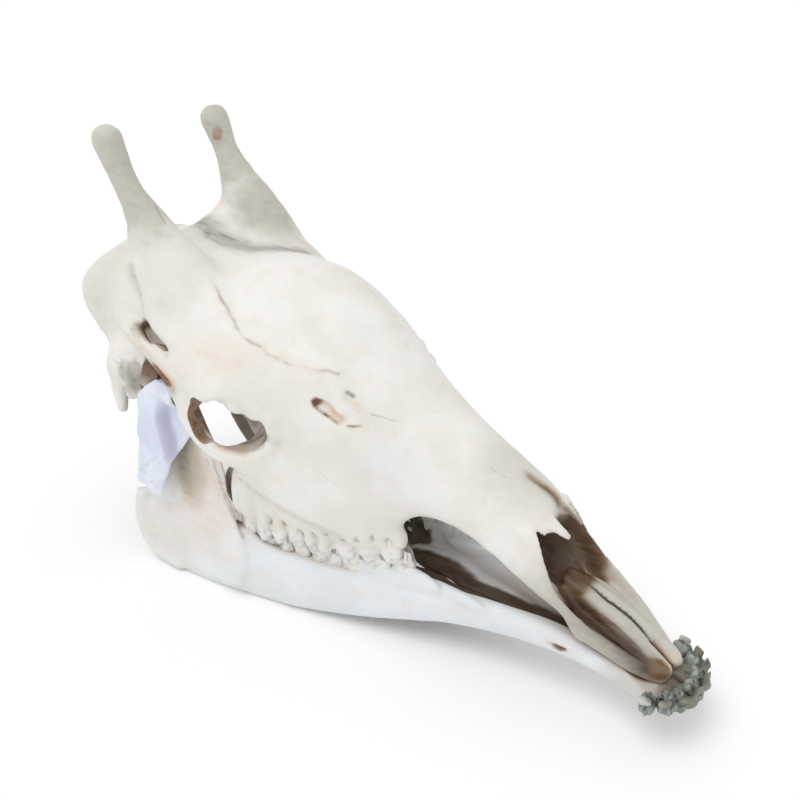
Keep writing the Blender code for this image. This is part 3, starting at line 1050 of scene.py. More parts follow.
class Canvas:
    """A new material with its shader and the shared groups in place."""

    def __init__(self, name: str, effects: SharedEffects, scale: float = 1.0) -> None:
        """Start the material.

        Args:
            name: Name of the material.
            effects: The shared groups.
            scale: Size factor of the mottling.
        """
        self.effects = effects
        self.material = bpy.data.materials.new(name)
        self.material.use_nodes = True
        self.tree = self.material.node_tree
        self.shader = self.tree.nodes["Principled BSDF"]
        self.graph = Graph(self.tree)
        self.where = self.graph.add("ShaderNodeTexCoord").outputs
        settings = {"node_tree": effects.mottle}
        node = self.graph.add("ShaderNodeGroup", settings, Vector=self.where["Object"], Scale=scale)
        self.mottle = node.outputs

    def grain(self, pores: float) -> Socket:
        """Fine grain of the surface.

        Args:
            pores: Strength of the pores.

        Returns:
            The socket of the grain's height.
        """
        settings = {"node_tree": self.effects.relief}
        node = self.graph.add("ShaderNodeGroup", settings, Vector=self.where["Object"], Pores=pores)
        return node.outputs["Height"]

    def emboss(self, height: Socket, strength: float, depth: float) -> None:
        """Give the surface a relief.

        Args:
            height: The relief's height from 0 to 1.
            strength: Strength of the relief.
            depth: Depth of the relief in metres.
        """
        node = self.graph.add("ShaderNodeBump", Strength=strength, Distance=depth, Height=height)
        self.tree.links.new(node.outputs[0], self.shader.inputs["Normal"])

    def finish(self, colour: Socket, rough: Socket | float, specular: float) -> None:
        """Feed the shader's colour and shine.

        Args:
            colour: Base colour.
            rough: Roughness.
            specular: Strength of the plain reflection.
        """
        self.tree.links.new(colour, self.shader.inputs["Base Color"])
        if isinstance(rough, Socket):
            self.tree.links.new(rough, self.shader.inputs["Roughness"])
        else:
            self.shader.inputs["Roughness"].default_value = rough
        self.shader.inputs["Specular IOR Level"].default_value = specular


@dataclass(frozen=True)
class BoneFinish:
    """Colours and surface of one kind of bone. The broken shares say how streaky each paint is."""

    name: str
    clean: Colour = (0.76, 0.74, 0.685)
    pale: Colour = (0.82, 0.81, 0.775)
    warm: Colour = (0.70, 0.50, 0.36)
    cool: Colour = (0.70, 0.72, 0.80)
    # grey paints grey bone and also painted shade on walls in shadow; stain paints brown stain and also
    # painted shade in hollows and between parts; deep is the near-black of holes and deep hollows, which is
    # painted shade.
    grey: Colour = (0.40, 0.385, 0.31)
    shade: Colour = (0.30, 0.30, 0.29)
    stain: Colour = (0.24, 0.13, 0.058)
    deep: Colour = (0.022, 0.013, 0.007)
    fleck: Colour = (0.50, 0.44, 0.36)
    broken_grey: float = 0.08
    broken_cool: float = 0.1
    broken_warm: float = 0.25
    broken_shade: float = 0.25
    broken_stain: float = 0.16
    broken_deep: float = 0.06
    blotched: float = 0.14
    flecked: float = 0.12
    roughness: float = 0.44
    uneven: float = 0.12
    specular: float = 0.3
    pores: float = 0.6
    bump: float = 0.3
    depth: float = 0.0007

    def build(self, effects: SharedEffects) -> bpy.types.Material:
        """Make the material.

        Args:
            effects: The shared shader groups.

        Returns:
            The finished material.
        """
        canvas = Canvas(self.name, effects)
        graph = canvas.graph
        mottle = canvas.mottle
        streaks = mottle["Streaks"]
        masks = {brush: graph.mask(brush.value) for brush in PAINTS}
        colour = graph.blend(mottle["Patches"], rgba(self.clean), rgba(self.pale))
        blotches = graph.math("MULTIPLY", mottle["Blotches"], self.blotched)
        colour = graph.blend(blotches, colour, rgba(self.warm))
        layers = ((GREY, self.grey, self.broken_grey), (COOL, self.cool, self.broken_cool),
                  (WARM, self.warm, self.broken_warm), (SHADE, self.shade, self.broken_shade),
                  (STAIN, self.stain, self.broken_stain), (DEEP, self.deep, self.broken_deep))
        for brush, tint, share in layers:
            mode = "MULTIPLY" if brush is SHADE else "MIX"
            colour = graph.blend(graph.broken(masks[brush], streaks, share), colour, rgba(tint), mode)
        specks = graph.math("MULTIPLY", mottle["Specks"], self.flecked)
        colour = graph.blend(specks, colour, rgba(self.fleck), "MULTIPLY")
        rough = graph.math("MULTIPLY_ADD", mottle["Patches"], self.uneven, self.roughness)
        canvas.finish(colour, rough, self.specular)
        canvas.emboss(canvas.grain(self.pores), self.bump, self.depth)
        return canvas.material


@dataclass(frozen=True)
class EnamelFinish:
    """Tooth enamel, soiled in its furrows and with painted shade where the teeth meet."""

    name: str
    crown: Colour
    root: Colour
    grime: Colour
    patched: float = 0.3
    broken: float = 0.3
    roughness: float = 0.45
    dull: float = 0.3
    specular: float = 0.35
    scale: float = 2.4
    pores: float = 0.2
    bump: float = 0.3
    depth: float = 0.0006

    def build(self, effects: SharedEffects) -> bpy.types.Material:
        """Make the material.

        Args:
            effects: The shared shader groups.

        Returns:
            The finished material.
        """
        canvas = Canvas(self.name, effects, self.scale)
        graph = canvas.graph
        colour = graph.blend(graph.mask("neck"), rgba(self.crown), rgba(self.root))
        patch = graph.math("MULTIPLY", canvas.mottle["Patches"], self.patched)
        colour = graph.blend(patch, colour, rgba(self.root))
        dirt_and_shade = graph.broken(graph.mask("furrow"), canvas.mottle["Blotches"], self.broken)
        colour = graph.blend(dirt_and_shade, colour, rgba(self.grime))
        canvas.finish(colour, graph.math("MULTIPLY_ADD", dirt_and_shade, self.dull, self.roughness), self.specular)
        canvas.emboss(canvas.grain(self.pores), self.bump, self.depth)
        return canvas.material


@dataclass(frozen=True)
class ClothFinish:
    """Pale strip with a fine weave along its own UV map."""

    name: str = "pale_lavender_cloth"
    lit: Colour = (0.76, 0.80, 0.90)
    dull: Colour = (0.68, 0.71, 0.84)
    # Painted shade in the strip's fold.
    fold: Colour = (0.42, 0.42, 0.60)
    fleck: Colour = (0.55, 0.55, 0.62)
    flecked: float = 0.12
    scale: float = 2.0
    roughness: float = 0.85
    specular: float = 0.2
    sheen: float = 0.15
    threads: float = 90.0
    waver: float = 0.4
    weave_bump: float = 0.25
    weave_depth: float = 0.0002

    def build(self, effects: SharedEffects) -> bpy.types.Material:
        """Make the material.

        Args:
            effects: The shared shader groups.

        Returns:
            The finished material.
        """
        canvas = Canvas(self.name, effects, self.scale)
        graph = canvas.graph
        colour = graph.blend(canvas.mottle["Patches"], rgba(self.lit), rgba(self.dull))
        specks = graph.math("MULTIPLY", canvas.mottle["Specks"], self.flecked)
        colour = graph.blend(specks, colour, rgba(self.fleck))
        colour = graph.blend(graph.mask("furrow"), colour, rgba(self.fold))
        canvas.finish(colour, self.roughness, self.specular)
        waves = []
        for axis in ("X", "Y"):
            settings = {"wave_type": "BANDS", "bands_direction": axis}
            wave = graph.add("ShaderNodeTexWave", settings, Vector=canvas.where["UV"], Scale=self.threads,
                             Distortion=self.waver)
            waves.append(wave.outputs["Fac"])
        canvas.emboss(graph.math("ADD", waves[0], waves[1]), self.weave_bump, self.weave_depth)
        canvas.shader.inputs["Sheen Weight"].default_value = self.sheen
        return canvas.material


@dataclass
class Studio:
    """Camera, floor and light. Places are in millimetres, angles in degrees, the floor in metres."""

    camera_at: Point = (773.478, -649.961, 726.770)
    camera_aim: Point = (307.263, 0.0, 227.879)
    roll: float = 0.98477
    lens: float = 49.802
    sensor: float = 36.0
    clip: Span = (0.05, 60.0)
    floor_half: float = 14.0
    floor_colour: Colour = (0.97, 0.97, 0.97)
    sun_at: Point = (60.0, -900.0, 2300.0)
    sun_aim: Point = (250.0, 0.0, 200.0)
    sun_angle: float = 35.0
    sun_energy: float = 0.95
    surround: float = 0.8

    def build(self) -> None:
        """Make the camera, floor, lamp and surround."""
        self.camera()
        self.floor()
        self.light()

    @staticmethod
    def aim(obj: Body, start: Point, target: Point, roll: float = 0.0) -> None:
        """Put a camera or lamp at a place, turned to a target.

        Args:
            obj: Object to place.
            start: Where it stands.
            target: What it looks at.
            roll: Degrees by which it is rolled clockwise.
        """
        turned = (place(target) - place(start)).to_track_quat("-Z", "Y").to_matrix()
        rolled = turned @ Matrix.Rotation(math.radians(-roll), 3, "Z")
        obj.matrix_world = Matrix.Translation(place(start)) @ rolled.to_4x4()

    def camera(self) -> None:
        """Camera at the photograph's viewing angle."""
        data = bpy.data.cameras.new("camera")
        data.sensor_width = self.sensor
        data.lens = self.lens
        data.clip_start, data.clip_end = self.clip
        camera = add_object("camera", data)
        self.aim(camera, self.camera_at, self.camera_aim, self.roll)
        bpy.context.scene.camera = camera

    def floor(self) -> None:
        """Pale floor that runs past every view."""
        deselect()
        bpy.ops.mesh.primitive_grid_add(x_subdivisions=4, y_subdivisions=4, size=self.floor_half * 2)
        floor = bpy.context.active_object
        floor.name = "floor"
        material = bpy.data.materials.new("pale_floor")
        material.use_nodes = True
        shader = material.node_tree.nodes["Principled BSDF"]
        shader.inputs["Base Color"].default_value = rgba(self.floor_colour)
        shader.inputs["Roughness"].default_value = 1.0
        shader.inputs["Specular IOR Level"].default_value = 0.0
        floor.data.materials.append(material)
        deselect()

    def light(self) -> None:
        """Wide, even light from above, with a bright surround."""
        data = bpy.data.lights.new("key", "SUN")
        data.angle = math.radians(self.sun_angle)
        data.energy = self.sun_energy
        self.aim(add_object("key", data), self.sun_at, self.sun_aim)
        world = bpy.data.worlds.new("surround")
        world.use_nodes = True
        shade = world.node_tree.nodes["Background"]
        shade.inputs["Color"].default_value = (1.0, 1.0, 1.0, 1.0)
        shade.inputs["Strength"].default_value = self.surround
        bpy.context.scene.world = world
        bpy.context.scene.view_settings.view_transform = "Standard"


@dataclass
class Piece:
    """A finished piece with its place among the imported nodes."""

    obj: Body
    nodes: tuple[str, ...]
    slot: str
    material: bpy.types.Material

    def settle(self) -> None:
        """Give the piece its material and its body, and hide the nodes that it stands for."""
        self.obj.data.materials.clear()
        self.obj.data.materials.append(self.material)
        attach(self.obj, "root")
        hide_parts(*self.nodes)
        LOG.info("%s: %d faces", self.obj.name, len(self.obj.data.polygons))


def line(brush: Brush, amount: float, width: float, *points: Point, **more: object) -> Stroke:
    """Stroke through the given points.

    Args:
        brush: What the stroke changes.
        amount: Strength, or height in millimetres.
        width: Width in millimetres.
        points: Places that it runs through.
        more: Other fields of the stroke.

    Returns:
        The stroke.
    """
    return Stroke(brush, amount, width=width, points=points, **more)


def groove(points: tuple[Point, ...], deep: float, wide: float, brush: Brush, amount: float, painted: float,
           **more: object) -> tuple[Stroke, Stroke]:
    """Groove with paint along it.

    Args:
        points: Places that it runs through.
        deep: Depth in millimetres.
        wide: Width of the groove in millimetres.
        brush: Paint along the groove.
        amount: Strength of the paint.
        painted: Width of the paint in millimetres.
        more: Other fields of both strokes.

    Returns:
        The groove and its paint.
    """
    return line(LIFT, -deep, wide, *points, **more), line(brush, amount, painted, *points, **more)


def spot(brush: Brush, amount: float, centre: Point, radii: Point, **more: object) -> Blot:
    """Blot round a centre.

    Args:
        brush: What the blot changes.
        amount: Strength, or height in millimetres.
        centre: Middle of the blot.
        radii: Reach along each axis.
        more: Other fields of the blot.

    Returns:
        The blot.
    """
    return Blot(brush, amount, centre=centre, radii=radii, **more)


@dataclass(frozen=True)
class SkullMarks:
    """Sutures, openings, stains, painted shade and worn places of the upper skull, given for the left side.
    """

    orbit: Point = (202.0, 97.0, 215.5)

    def all(self) -> tuple[Mark, ...]:
        """Every mark of the upper skull."""
        return self.sutures() + self.rear() + self.face() + self.horns() + self.nose() + self.teeth()

    def sutures(self) -> tuple[Mark, ...]:
        """Joins between the bones of the roof and face."""
        frontal = ((156, 55, 322), (169, 61, 312), (181, 64, 302), (192, 69, 295), (202, 73, 291),
                   (220, 73, 286), (228, 72, 281), (245, 68, 276), (265, 61, 274), (283, 51, 271))
        above = tuple((x + 2, y, z + 3) for x, y, z in frontal)
        middle = ((60, 0, 338), (120, 0, 336), (190, 0, 338), (257, 0, 330), (337, 0, 266), (401, 0, 222),
                  (440, 0, 200))
        nasal = ((300, 17, 298), (337, 19, 262), (370, 20, 237), (401, 19, 213), (421, 16, 202))
        cheek = ((250, 82, 214), (262, 78, 190), (290, 70, 176), (318, 60, 168))
        return (
            *groove(frontal, 1.3, 1.5, SHADE, 0.6, 1.3, ragged=1.2),
            line(LIFT, 1.1, 3.4, *above, ragged=2.2),
            line(WARM, 0.25, 5.0, *frontal, ragged=3.0),
            *groove(middle, 0.45, 0.9, SHADE, 0.22, 0.8, side=LEFT, ragged=1.8),
            *groove(nasal, 0.6, 0.9, SHADE, 0.3, 0.9, ragged=1.6),
            *groove(cheek, 0.35, 0.8, SHADE, 0.22, 0.8, ragged=2.0),
        )

    def rear(self) -> tuple[Mark, ...]:
        """Back of the skull, the gaps behind the eye and the rough mastoid."""
        valley = ((47, 51, 307), (67, 64, 293), (84, 76, 282))
        hole = ((44, 70, 249), (50, 73, 252), (57, 77, 253))
        return (
            *groove(valley, 2.0, 5.0, SHADE, 0.4, 5.0),
            *groove(hole, 2.2, 1.6, DEEP, 0.8, 1.5),
            line(LIFT, 1.6, 2.2, (30, 73, 221), (41, 76, 216), (52, 74, 212)),
            line(SHADE, 0.35, 1.6, (32, 74, 216), (42, 76, 212), (52, 74, 208)),
            spot(GREY, 0.85, (50, 72, 200), (13, 12, 20), ragged=3.0),
            spot(SHADE, 0.35, (56, 72, 204), (6, 9, 16), ragged=2.0),
            # Brown and near-black in the slit behind the eye: stain with painted shade deep inside.
            line(STAIN, 1.0, 5.5, (76, 66, 262), (98, 82, 271), (120, 88, 271), (136, 93, 265), ragged=0.8),
            line(DEEP, 0.7, 5.0, (82, 66, 262), (100, 76, 270), (118, 84, 271), (132, 91, 268), ragged=0.8),
            line(WARM, 0.7, 4.0, (84, 88, 262), (112, 99, 258), (133, 104, 250), (145, 106, 239), ragged=1.2),
            # Brown under the arch, in the slit and in the hollows behind the arch: stain with painted shade.
            line(STAIN, 1.0, 7.0, (98, 88, 238), (112, 96, 244), (128, 102, 243), (142, 104, 235), ragged=1.0,
                 facing=(0.0, 0.3, -0.9)),
            spot(STAIN, 1.0, (112, 79, 265), (34, 12, 8), edge=0.3, ragged=1.0),
            spot(DEEP, 0.75, (112, 78, 265), (34, 12, 8), edge=0.3, ragged=1.0),
            spot(STAIN, 0.95, (122, 92, 239), (26, 18, 11), ragged=1.5),
            spot(STAIN, 1.0, (96, 80, 226), (22, 16, 18), ragged=2.0),
            spot(DEEP, 0.5, (104, 80, 230), (24, 18, 18), edge=0.5, ragged=2.0),
            spot(SHADE, 0.5, (60, 74, 206), (7, 10, 18), ragged=2.0),
            spot(GREY, 0.25, (10, 40, 270), (30, 46, 40), edge=0.6, ragged=6.0),
        )

    def face(self) -> tuple[Mark, ...]:
        """Eye socket, the gap in the cheek and the marks around them."""
        ox, oy, oz = self.orbit
        slit = ((299, 62, 232), (304, 60, 232), (310, 57, 233))
        split = ((311, 50, 243), (318, 46, 240), (325, 43, 238), (332, 39, 237))
        crack = ((298, 51, 258), (304, 50, 253), (311, 50, 247))
        scratches = ((266, 11, 321), (281, 10, 312), (297, 16, 295))
        return (
            line(LIFT, -2.6, 3.2, (273, 67, 250), (279, 66, 246), (286, 64, 241), (292, 62, 237)),
            line(WARM, 1.0, 4.2, (273, 67, 250), (280, 66, 246), (287, 64, 240), (293, 62, 236), ragged=0.8),
            spot(STAIN, 1.0, (273, 69, 249), (4.5, 6, 4.5), ragged=1.2),
            spot(DEEP, 0.6, (272, 69, 249), (3.0, 5, 3.4), ragged=0.8),
            line(LIFT, -1.6, 1.3, (273, 69, 244), (281, 66, 238), (290, 64, 233)),
            line(STAIN, 1.0, 1.5, (272, 69, 245), (281, 66, 238), (291, 64, 233), ragged=0.5),
            *groove(slit, 1.6, 1.2, STAIN, 0.8, 1.1),
            line(LIFT, -3.0, 2.0, (294, 53, 258), (298, 52, 255)),
            line(DEEP, 0.8, 1.9, (293, 54, 258), (298, 52, 255)),
            line(LIFT, 1.4, 1.2, (291, 56, 254), (296, 56, 250), (303, 54, 246), (309, 52, 242), ragged=1.2),
            *groove(crack, 1.5, 1.2, SHADE, 0.3, 1.0, ragged=1.2),
            line(WARM, 0.5, 3.0, (292, 56, 256), (300, 54, 251), (309, 52, 245), ragged=1.5),
            *groove(split, 0.7, 0.9, SHADE, 0.5, 0.8, ragged=1.0),
            *groove(((187, 83, 148), (192, 84, 147)), 1.2, 0.8, DEEP, 0.8, 0.8),
            # Painted shade along the shallow hollow above the cheek teeth.
            line(GREY, 0.35, 7.0, (199, 81, 141), (220, 85, 140), (236, 78, 127), (256, 72, 120),
                 (285, 62, 110), ragged=3.0),
            spot(COOL, 0.35, (331, 56, 200), (22, 18, 24), edge=0.6, ragged=5.0),
            spot(WARM, 0.3, (186, 86, 279), (26, 18, 16), edge=0.6, ragged=5.0),
            *groove(scratches, 0.35, 0.7, WARM, 0.35, 0.8, side=LEFT),
            line(LIFT, -0.35, 0.7, (276, 2, 319), (290, 8, 305), (300, 22, 290), side=LEFT),
            spot(STAIN, 0.9, (ox - 33, oy - 2, oz), (13, 24, 28), edge=0.2, ragged=1.5,
                 facing=(0.9, -0.2, 0.3)),
            spot(WARM, 0.7, (ox - 33, oy - 2, oz - 6), (13, 22, 22), ragged=2.0, facing=(0.9, -0.2, 0.3)),
            # Painted shade under the rim of the eye socket.
            spot(DEEP, 0.4, (ox - 32, oy - 8, oz + 18), (8, 16, 8), ragged=2.0, facing=(0.7, -0.2, -0.4)),
            line(SHADE, 0.5, 1.4, (ox - 27, oy - 2, oz - 16), (ox - 20, oy - 2, oz - 22), ragged=1.5),
            spot(WARM, 0.6, (ox - 4, oy + 4, oz - 29), (26, 18, 8), ragged=2.0, facing=(0.0, -0.2, 0.9)),
            # Olive grey and brown on the inner walls seen through the eye socket: painted shade.
            spot(GREY, 1.0, (ox + 30, 46, oz - 6), (30, 42, 34), edge=0.08, ragged=1.5),
            spot(STAIN, 0.35, (ox + 32, 46, oz - 10), (28, 42, 26), edge=0.2, ragged=3.0),
            spot(STAIN, 0.8, (168, 62, 214), (20, 24, 30), edge=0.1, ragged=1.5),
            spot(GREY, 1.0, (134, 24, 148), (34, 16, 34), edge=0.2, ragged=1.5),
            spot(STAIN, 0.35, (134, 24, 146), (34, 16, 30), edge=0.3, ragged=2.0),
            spot(SHADE, 0.5, (ox + 34, oy - 4, oz - 1), (3.5, 4, 4), ragged=1.0),
        )

    def horns(self) -> tuple[Mark, ...]:
        """Weathered horns, with painted shade in the valley between their feet and on the left horn's inner
        foot.
        """
        crease = ((98, 54, 375), (103, 56, 370), (109, 57, 365))
        return (
            spot(GREY, 0.7, (76, 62, 396), (46, 30, 56), edge=0.45, ragged=8.0),
            # Painted shade in the valley between the horns' feet and on the inner foot of the left horn.
            line(SHADE, 0.85, 14.0, (76, 11, 333), (103, 5, 329), (143, 6, 326), (163, 22, 325),
                 (176, 42, 318), side=LEFT, ragged=4.0),
            spot(GREY, 0.75, (124, 54, 345), (34, 24, 38), side=LEFT, edge=0.5, ragged=6.0),
            spot(STAIN, 0.6, (72, 51, 404), (5, 5, 6), side=LEFT, ragged=2.0),
            spot(STAIN, 0.4, (78, 53, 417), (4, 5, 7), side=LEFT, ragged=2.0),
            *groove(crease, 1.2, 1.6, SHADE, 0.5, 1.4),
            line(LIFT, -0.5, 1.2, (112, 40, 345), (122, 30, 332), (134, 28, 324), ragged=2.0),
            line(LIFT, -0.5, 1.2, (104, 40, 348), (110, 26, 336), (120, 20, 330), ragged=2.0),
            line(LIFT, 0.6, 1.2, (160, 66, 315), (170, 62, 311), (178, 57, 308), ragged=1.0),
            line(LIFT, 1.0, 3.0, (120, 72, 330), (128, 78, 318), (133, 84, 304), ragged=3.0),
        )

    def nose(self) -> tuple[Mark, ...]:
        """Nasal tips, the opening of the nose and the muzzle bones."""
        return (
            spot(GREY, 0.7, (530, 20, 105), (80, 40, 60), edge=0.5, ragged=8.0),
            spot(GREY, 0.42, (430, 0, 200), (46, 30, 30), edge=0.6, ragged=6.0),
            # Brown and near-black inside the nose: stain with painted shade in its depths.
            spot(STAIN, 1.0, (455, 0, 135), (52, 24, 36), edge=0.12, ragged=1.0),
            spot(DEEP, 0.72, (452, 0, 132), (50, 24, 36), edge=0.3, ragged=1.5),
            line(STAIN, 1.0, 9.0, (462, -15, 116), (490, -16, 101), (515, -17, 91), (540, -17, 80),
                 (560, -17, 72), side=RIGHT, ragged=1.0),
            line(DEEP, 0.9, 12.5, (462, -15, 114), (490, -16, 99), (515, -17, 89), (556, -18, 71),
                 side=RIGHT, ragged=1.0),
            spot(STAIN, 1.0, (474, 26, 128), (26, 9, 34), side=LEFT, edge=0.2, ragged=1.5,
                 facing=(0.0, -0.8, 0.3)),
            spot(DEEP, 0.6, (472, 25, 126), (25, 9, 34), side=LEFT, edge=0.3, ragged=1.5,
                 facing=(0.0, -0.8, 0.3)),
            spot(STAIN, 1.0, (482, 8, 116), (16, 14, 16), edge=0.2, ragged=1.5),
            spot(DEEP, 0.6, (480, 8, 116), (16, 14, 16), edge=0.3, ragged=1.5),
            line(STAIN, 1.0, 5.6, (436, 0, 201), (446, 3, 193), (459, 7, 182), (472, 8, 170), (482, 9, 158),
                 side=LEFT, ragged=1.2),
            line(DEEP, 0.45, 4.0, (446, 2, 192), (459, 6, 181), (472, 7, 169), (482, 8, 158),
                 side=LEFT, ragged=1.2),
            line(LIFT, -1.6, 3.0, (440, 1, 198), (459, 8, 181), (474, 8, 169), side=LEFT),
            # Painted shadow: a black line in the slot between the two inner processes.
            line(LIFT, -3.2, 1.0, (486, 0, 113), (510, 0, 105), (530, 0, 97), (552, 0, 86), side=LEFT),
            spot(DEEP, 1.0, (522, 0, 99), (48, 1.5, 34), edge=0.4, ragged=0.3, side=LEFT),
            spot(STAIN, 1.0, (566, -15, 71), (16, 8, 10), side=RIGHT, ragged=1.0),
            spot(DEEP, 0.4, (564, -15, 71), (15, 8, 10), side=RIGHT, ragged=1.0),
            spot(WARM, 0.5, (576, 2, 70), (8, 8, 9), ragged=2.0),
            line(LIFT, -1.2, 1.2, (560, 3, 84), (570, 4, 76), (579, 5, 68), ragged=0.5),
        )

    def teeth(self) -> tuple[Mark, ...]:
        """Swellings over the roots and the pits between them."""
        gum = ((182, 71, 96), (204, 67, 95), (236, 63, 97), (273, 60, 105), (305, 55, 114), (330, 47, 119))
        out = [line(LIFT, 1.2, 4.5, *gum, ragged=2.0)]
        for step, x in enumerate((192, 207, 222, 238, 254, 270, 286, 300, 314, 326)):
            y, z = (float(np.interp(x, [row[0] for row in gum], [row[k] for row in gum])) for k in (1, 2))
            low = z - 4 + 3 * (step % 3)
            out.append(spot(LIFT, -2.4, (x, y, low), (1.8 + step % 2, 8, 4 + step % 3), edge=0.5, ragged=1.5))
            out.append(spot(SHADE, 0.75, (x, y, low - 1), (1.6 + step % 2, 8, 3), edge=0.5, ragged=1.5))
        return tuple(out)


@dataclass(frozen=True)
class JawMarks:
    """Marks of one half of the lower jaw, given for the left half."""

    def all(self) -> tuple[Mark, ...]:
        """Every mark of the half."""
        return (
            # Bluish tint over the body of the jaw: painted cool light.
            spot(COOL, 0.30, (320, 40, 40), (190, 60, 60), edge=0.5, ragged=10.0),
            # Painted shadow of the cheek arch on the outer face of the ramus.
            spot(GREY, 1.0, (124, 84, 140), (20, 12, 44), edge=0.5, ragged=4.0),
            spot(SHADE, 0.4, (118, 84, 138), (9, 12, 34), edge=0.6, ragged=3.0),
            spot(WARM, 0.25, (90, 90, 50), (40, 10, 40), edge=0.5, ragged=6.0),
            line(STAIN, 0.42, 2.4, (155, 81, 152), (162, 80, 128), (167, 81, 110), (182, 80, 76), ragged=1.0),
            line(LIFT, -1.0, 3.0, (150, 82, 150), (157, 81, 128), (162, 82, 110), (176, 81, 78)),
            line(LIFT, -3.5, 3.0, (478, 27, 57), (490, 26, 57)),
            spot(STAIN, 1.0, (484, 25, 57), (6.5, 6, 3.4), ragged=0.8),
            spot(DEEP, 0.5, (485, 25, 57), (4.5, 6, 2.2), ragged=0.6),
            line(WARM, 0.3, 5.0, (474, 27, 60), (494, 26, 57), ragged=1.0),
            line(LIFT, 0.8, 2.4, (72, 92, 88), (88, 92, 62), (108, 91, 40), ragged=3.0),
            line(LIFT, 0.7, 2.4, (88, 91, 96), (104, 91, 70), (128, 89, 48), ragged=3.0),
            line(LIFT, -0.6, 2.0, (80, 92, 92), (96, 92, 66), (118, 90, 44), ragged=3.0),
            spot(GREY, 0.55, (560, 20, 52), (34, 40, 20), edge=0.5, ragged=5.0),
            spot(LIFT, -1.2, (250, 46, 74), (100, 30, 11), edge=0.15),
            spot(LIFT, -0.9, (592, 22, 56), (22, 46, 16), edge=0.15),
            # Brown and near-black on the shelf between the halves and near the chin: painted shade in the gap
            # between the jaws.
            spot(STAIN, 1.0, (430, 0, 50), (125, 14, 12), edge=0.1, ragged=1.0),
            spot(DEEP, 0.78, (430, 0, 50), (125, 14, 12), edge=0.15, ragged=1.0),
            spot(STAIN, 1.0, (342, 8, 51), (44, 16, 11), edge=0.1, ragged=1.0),
            spot(DEEP, 0.78, (342, 8, 51), (44, 16, 11), edge=0.15, ragged=1.0),
            spot(STAIN, 1.0, (515, 0, 62), (45, 12, 8), edge=0.2, ragged=1.0),
            spot(DEEP, 0.7, (515, 0, 62), (45, 12, 8), edge=0.3, ragged=1.0),
            spot(STAIN, 0.9, (144, 80, 198), (16, 14, 20), edge=0.3, ragged=2.0),
            spot(WARM, 0.4, (142, 86, 110), (44, 14, 62), edge=0.5, ragged=6.0),
            spot(GREY, 1.0, (592, 12, 54), (26, 44, 20), edge=0.3, ragged=3.0),
            spot(SHADE, 0.7, (600, 12, 56), (20, 44, 20), edge=0.3, ragged=4.0),
            spot(GREY, 1.0, (596, 0, 67), (40, 62, 12), edge=0.2, ragged=1.0),
            spot(SHADE, 0.9, (596, 0, 67), (40, 62, 12), edge=0.2, ragged=2.0),
            spot(GREY, 1.0, (608, 0, 54), (14, 50, 12), edge=0.2, ragged=1.0),
            spot(SHADE, 0.9, (608, 0, 54), (14, 50, 12), edge=0.2, ragged=2.0),
            # Olive grey and brown on the inner faces of the ramus and of the jaw ahead of the last cheek
            # teeth: painted shade.
            spot(GREY, 1.0, (100, 64, 105), (64, 16, 95), edge=0.1, ragged=2.0, facing=(0.0, -0.9, 0.0)),
            spot(STAIN, 0.35, (100, 64, 105), (64, 16, 95), edge=0.1, ragged=2.0, facing=(0.0, -0.9, 0.0)),
            spot(STAIN, 1.0, (294, 38, 60), (26, 18, 26), edge=0.3, ragged=2.0, facing=(0.0, -0.9, 0.2)),
            spot(DEEP, 0.8, (294, 38, 60), (25, 18, 25), edge=0.3, ragged=2.0, facing=(0.0, -0.9, 0.2)),
            spot(DEEP, 0.35, (576, 6, 52), (14, 12, 10), edge=0.5, ragged=3.0),
            spot(SHADE, 0.7, (586, 10, 56), (16, 22, 8), ragged=3.0),
        )


def finish_edges(obj: Body, crease: float = 62.0) -> None:
    """Shade the piece smooth with its flat cut faces crisp.

    Args:
        obj: Piece to finish.
        crease: Angle in degrees over which an edge stays crisp.
    """
    activate(obj)
    bpy.ops.object.shade_smooth_by_angle(angle=math.radians(crease))
    deselect()


def face_outwards(obj: Body) -> None:
    """Turn every face of the piece outwards.

    Args:
        obj: Piece to mend.
    """
    edit(obj)
    bpy.ops.mesh.normals_make_consistent(inside=False)
    deselect()


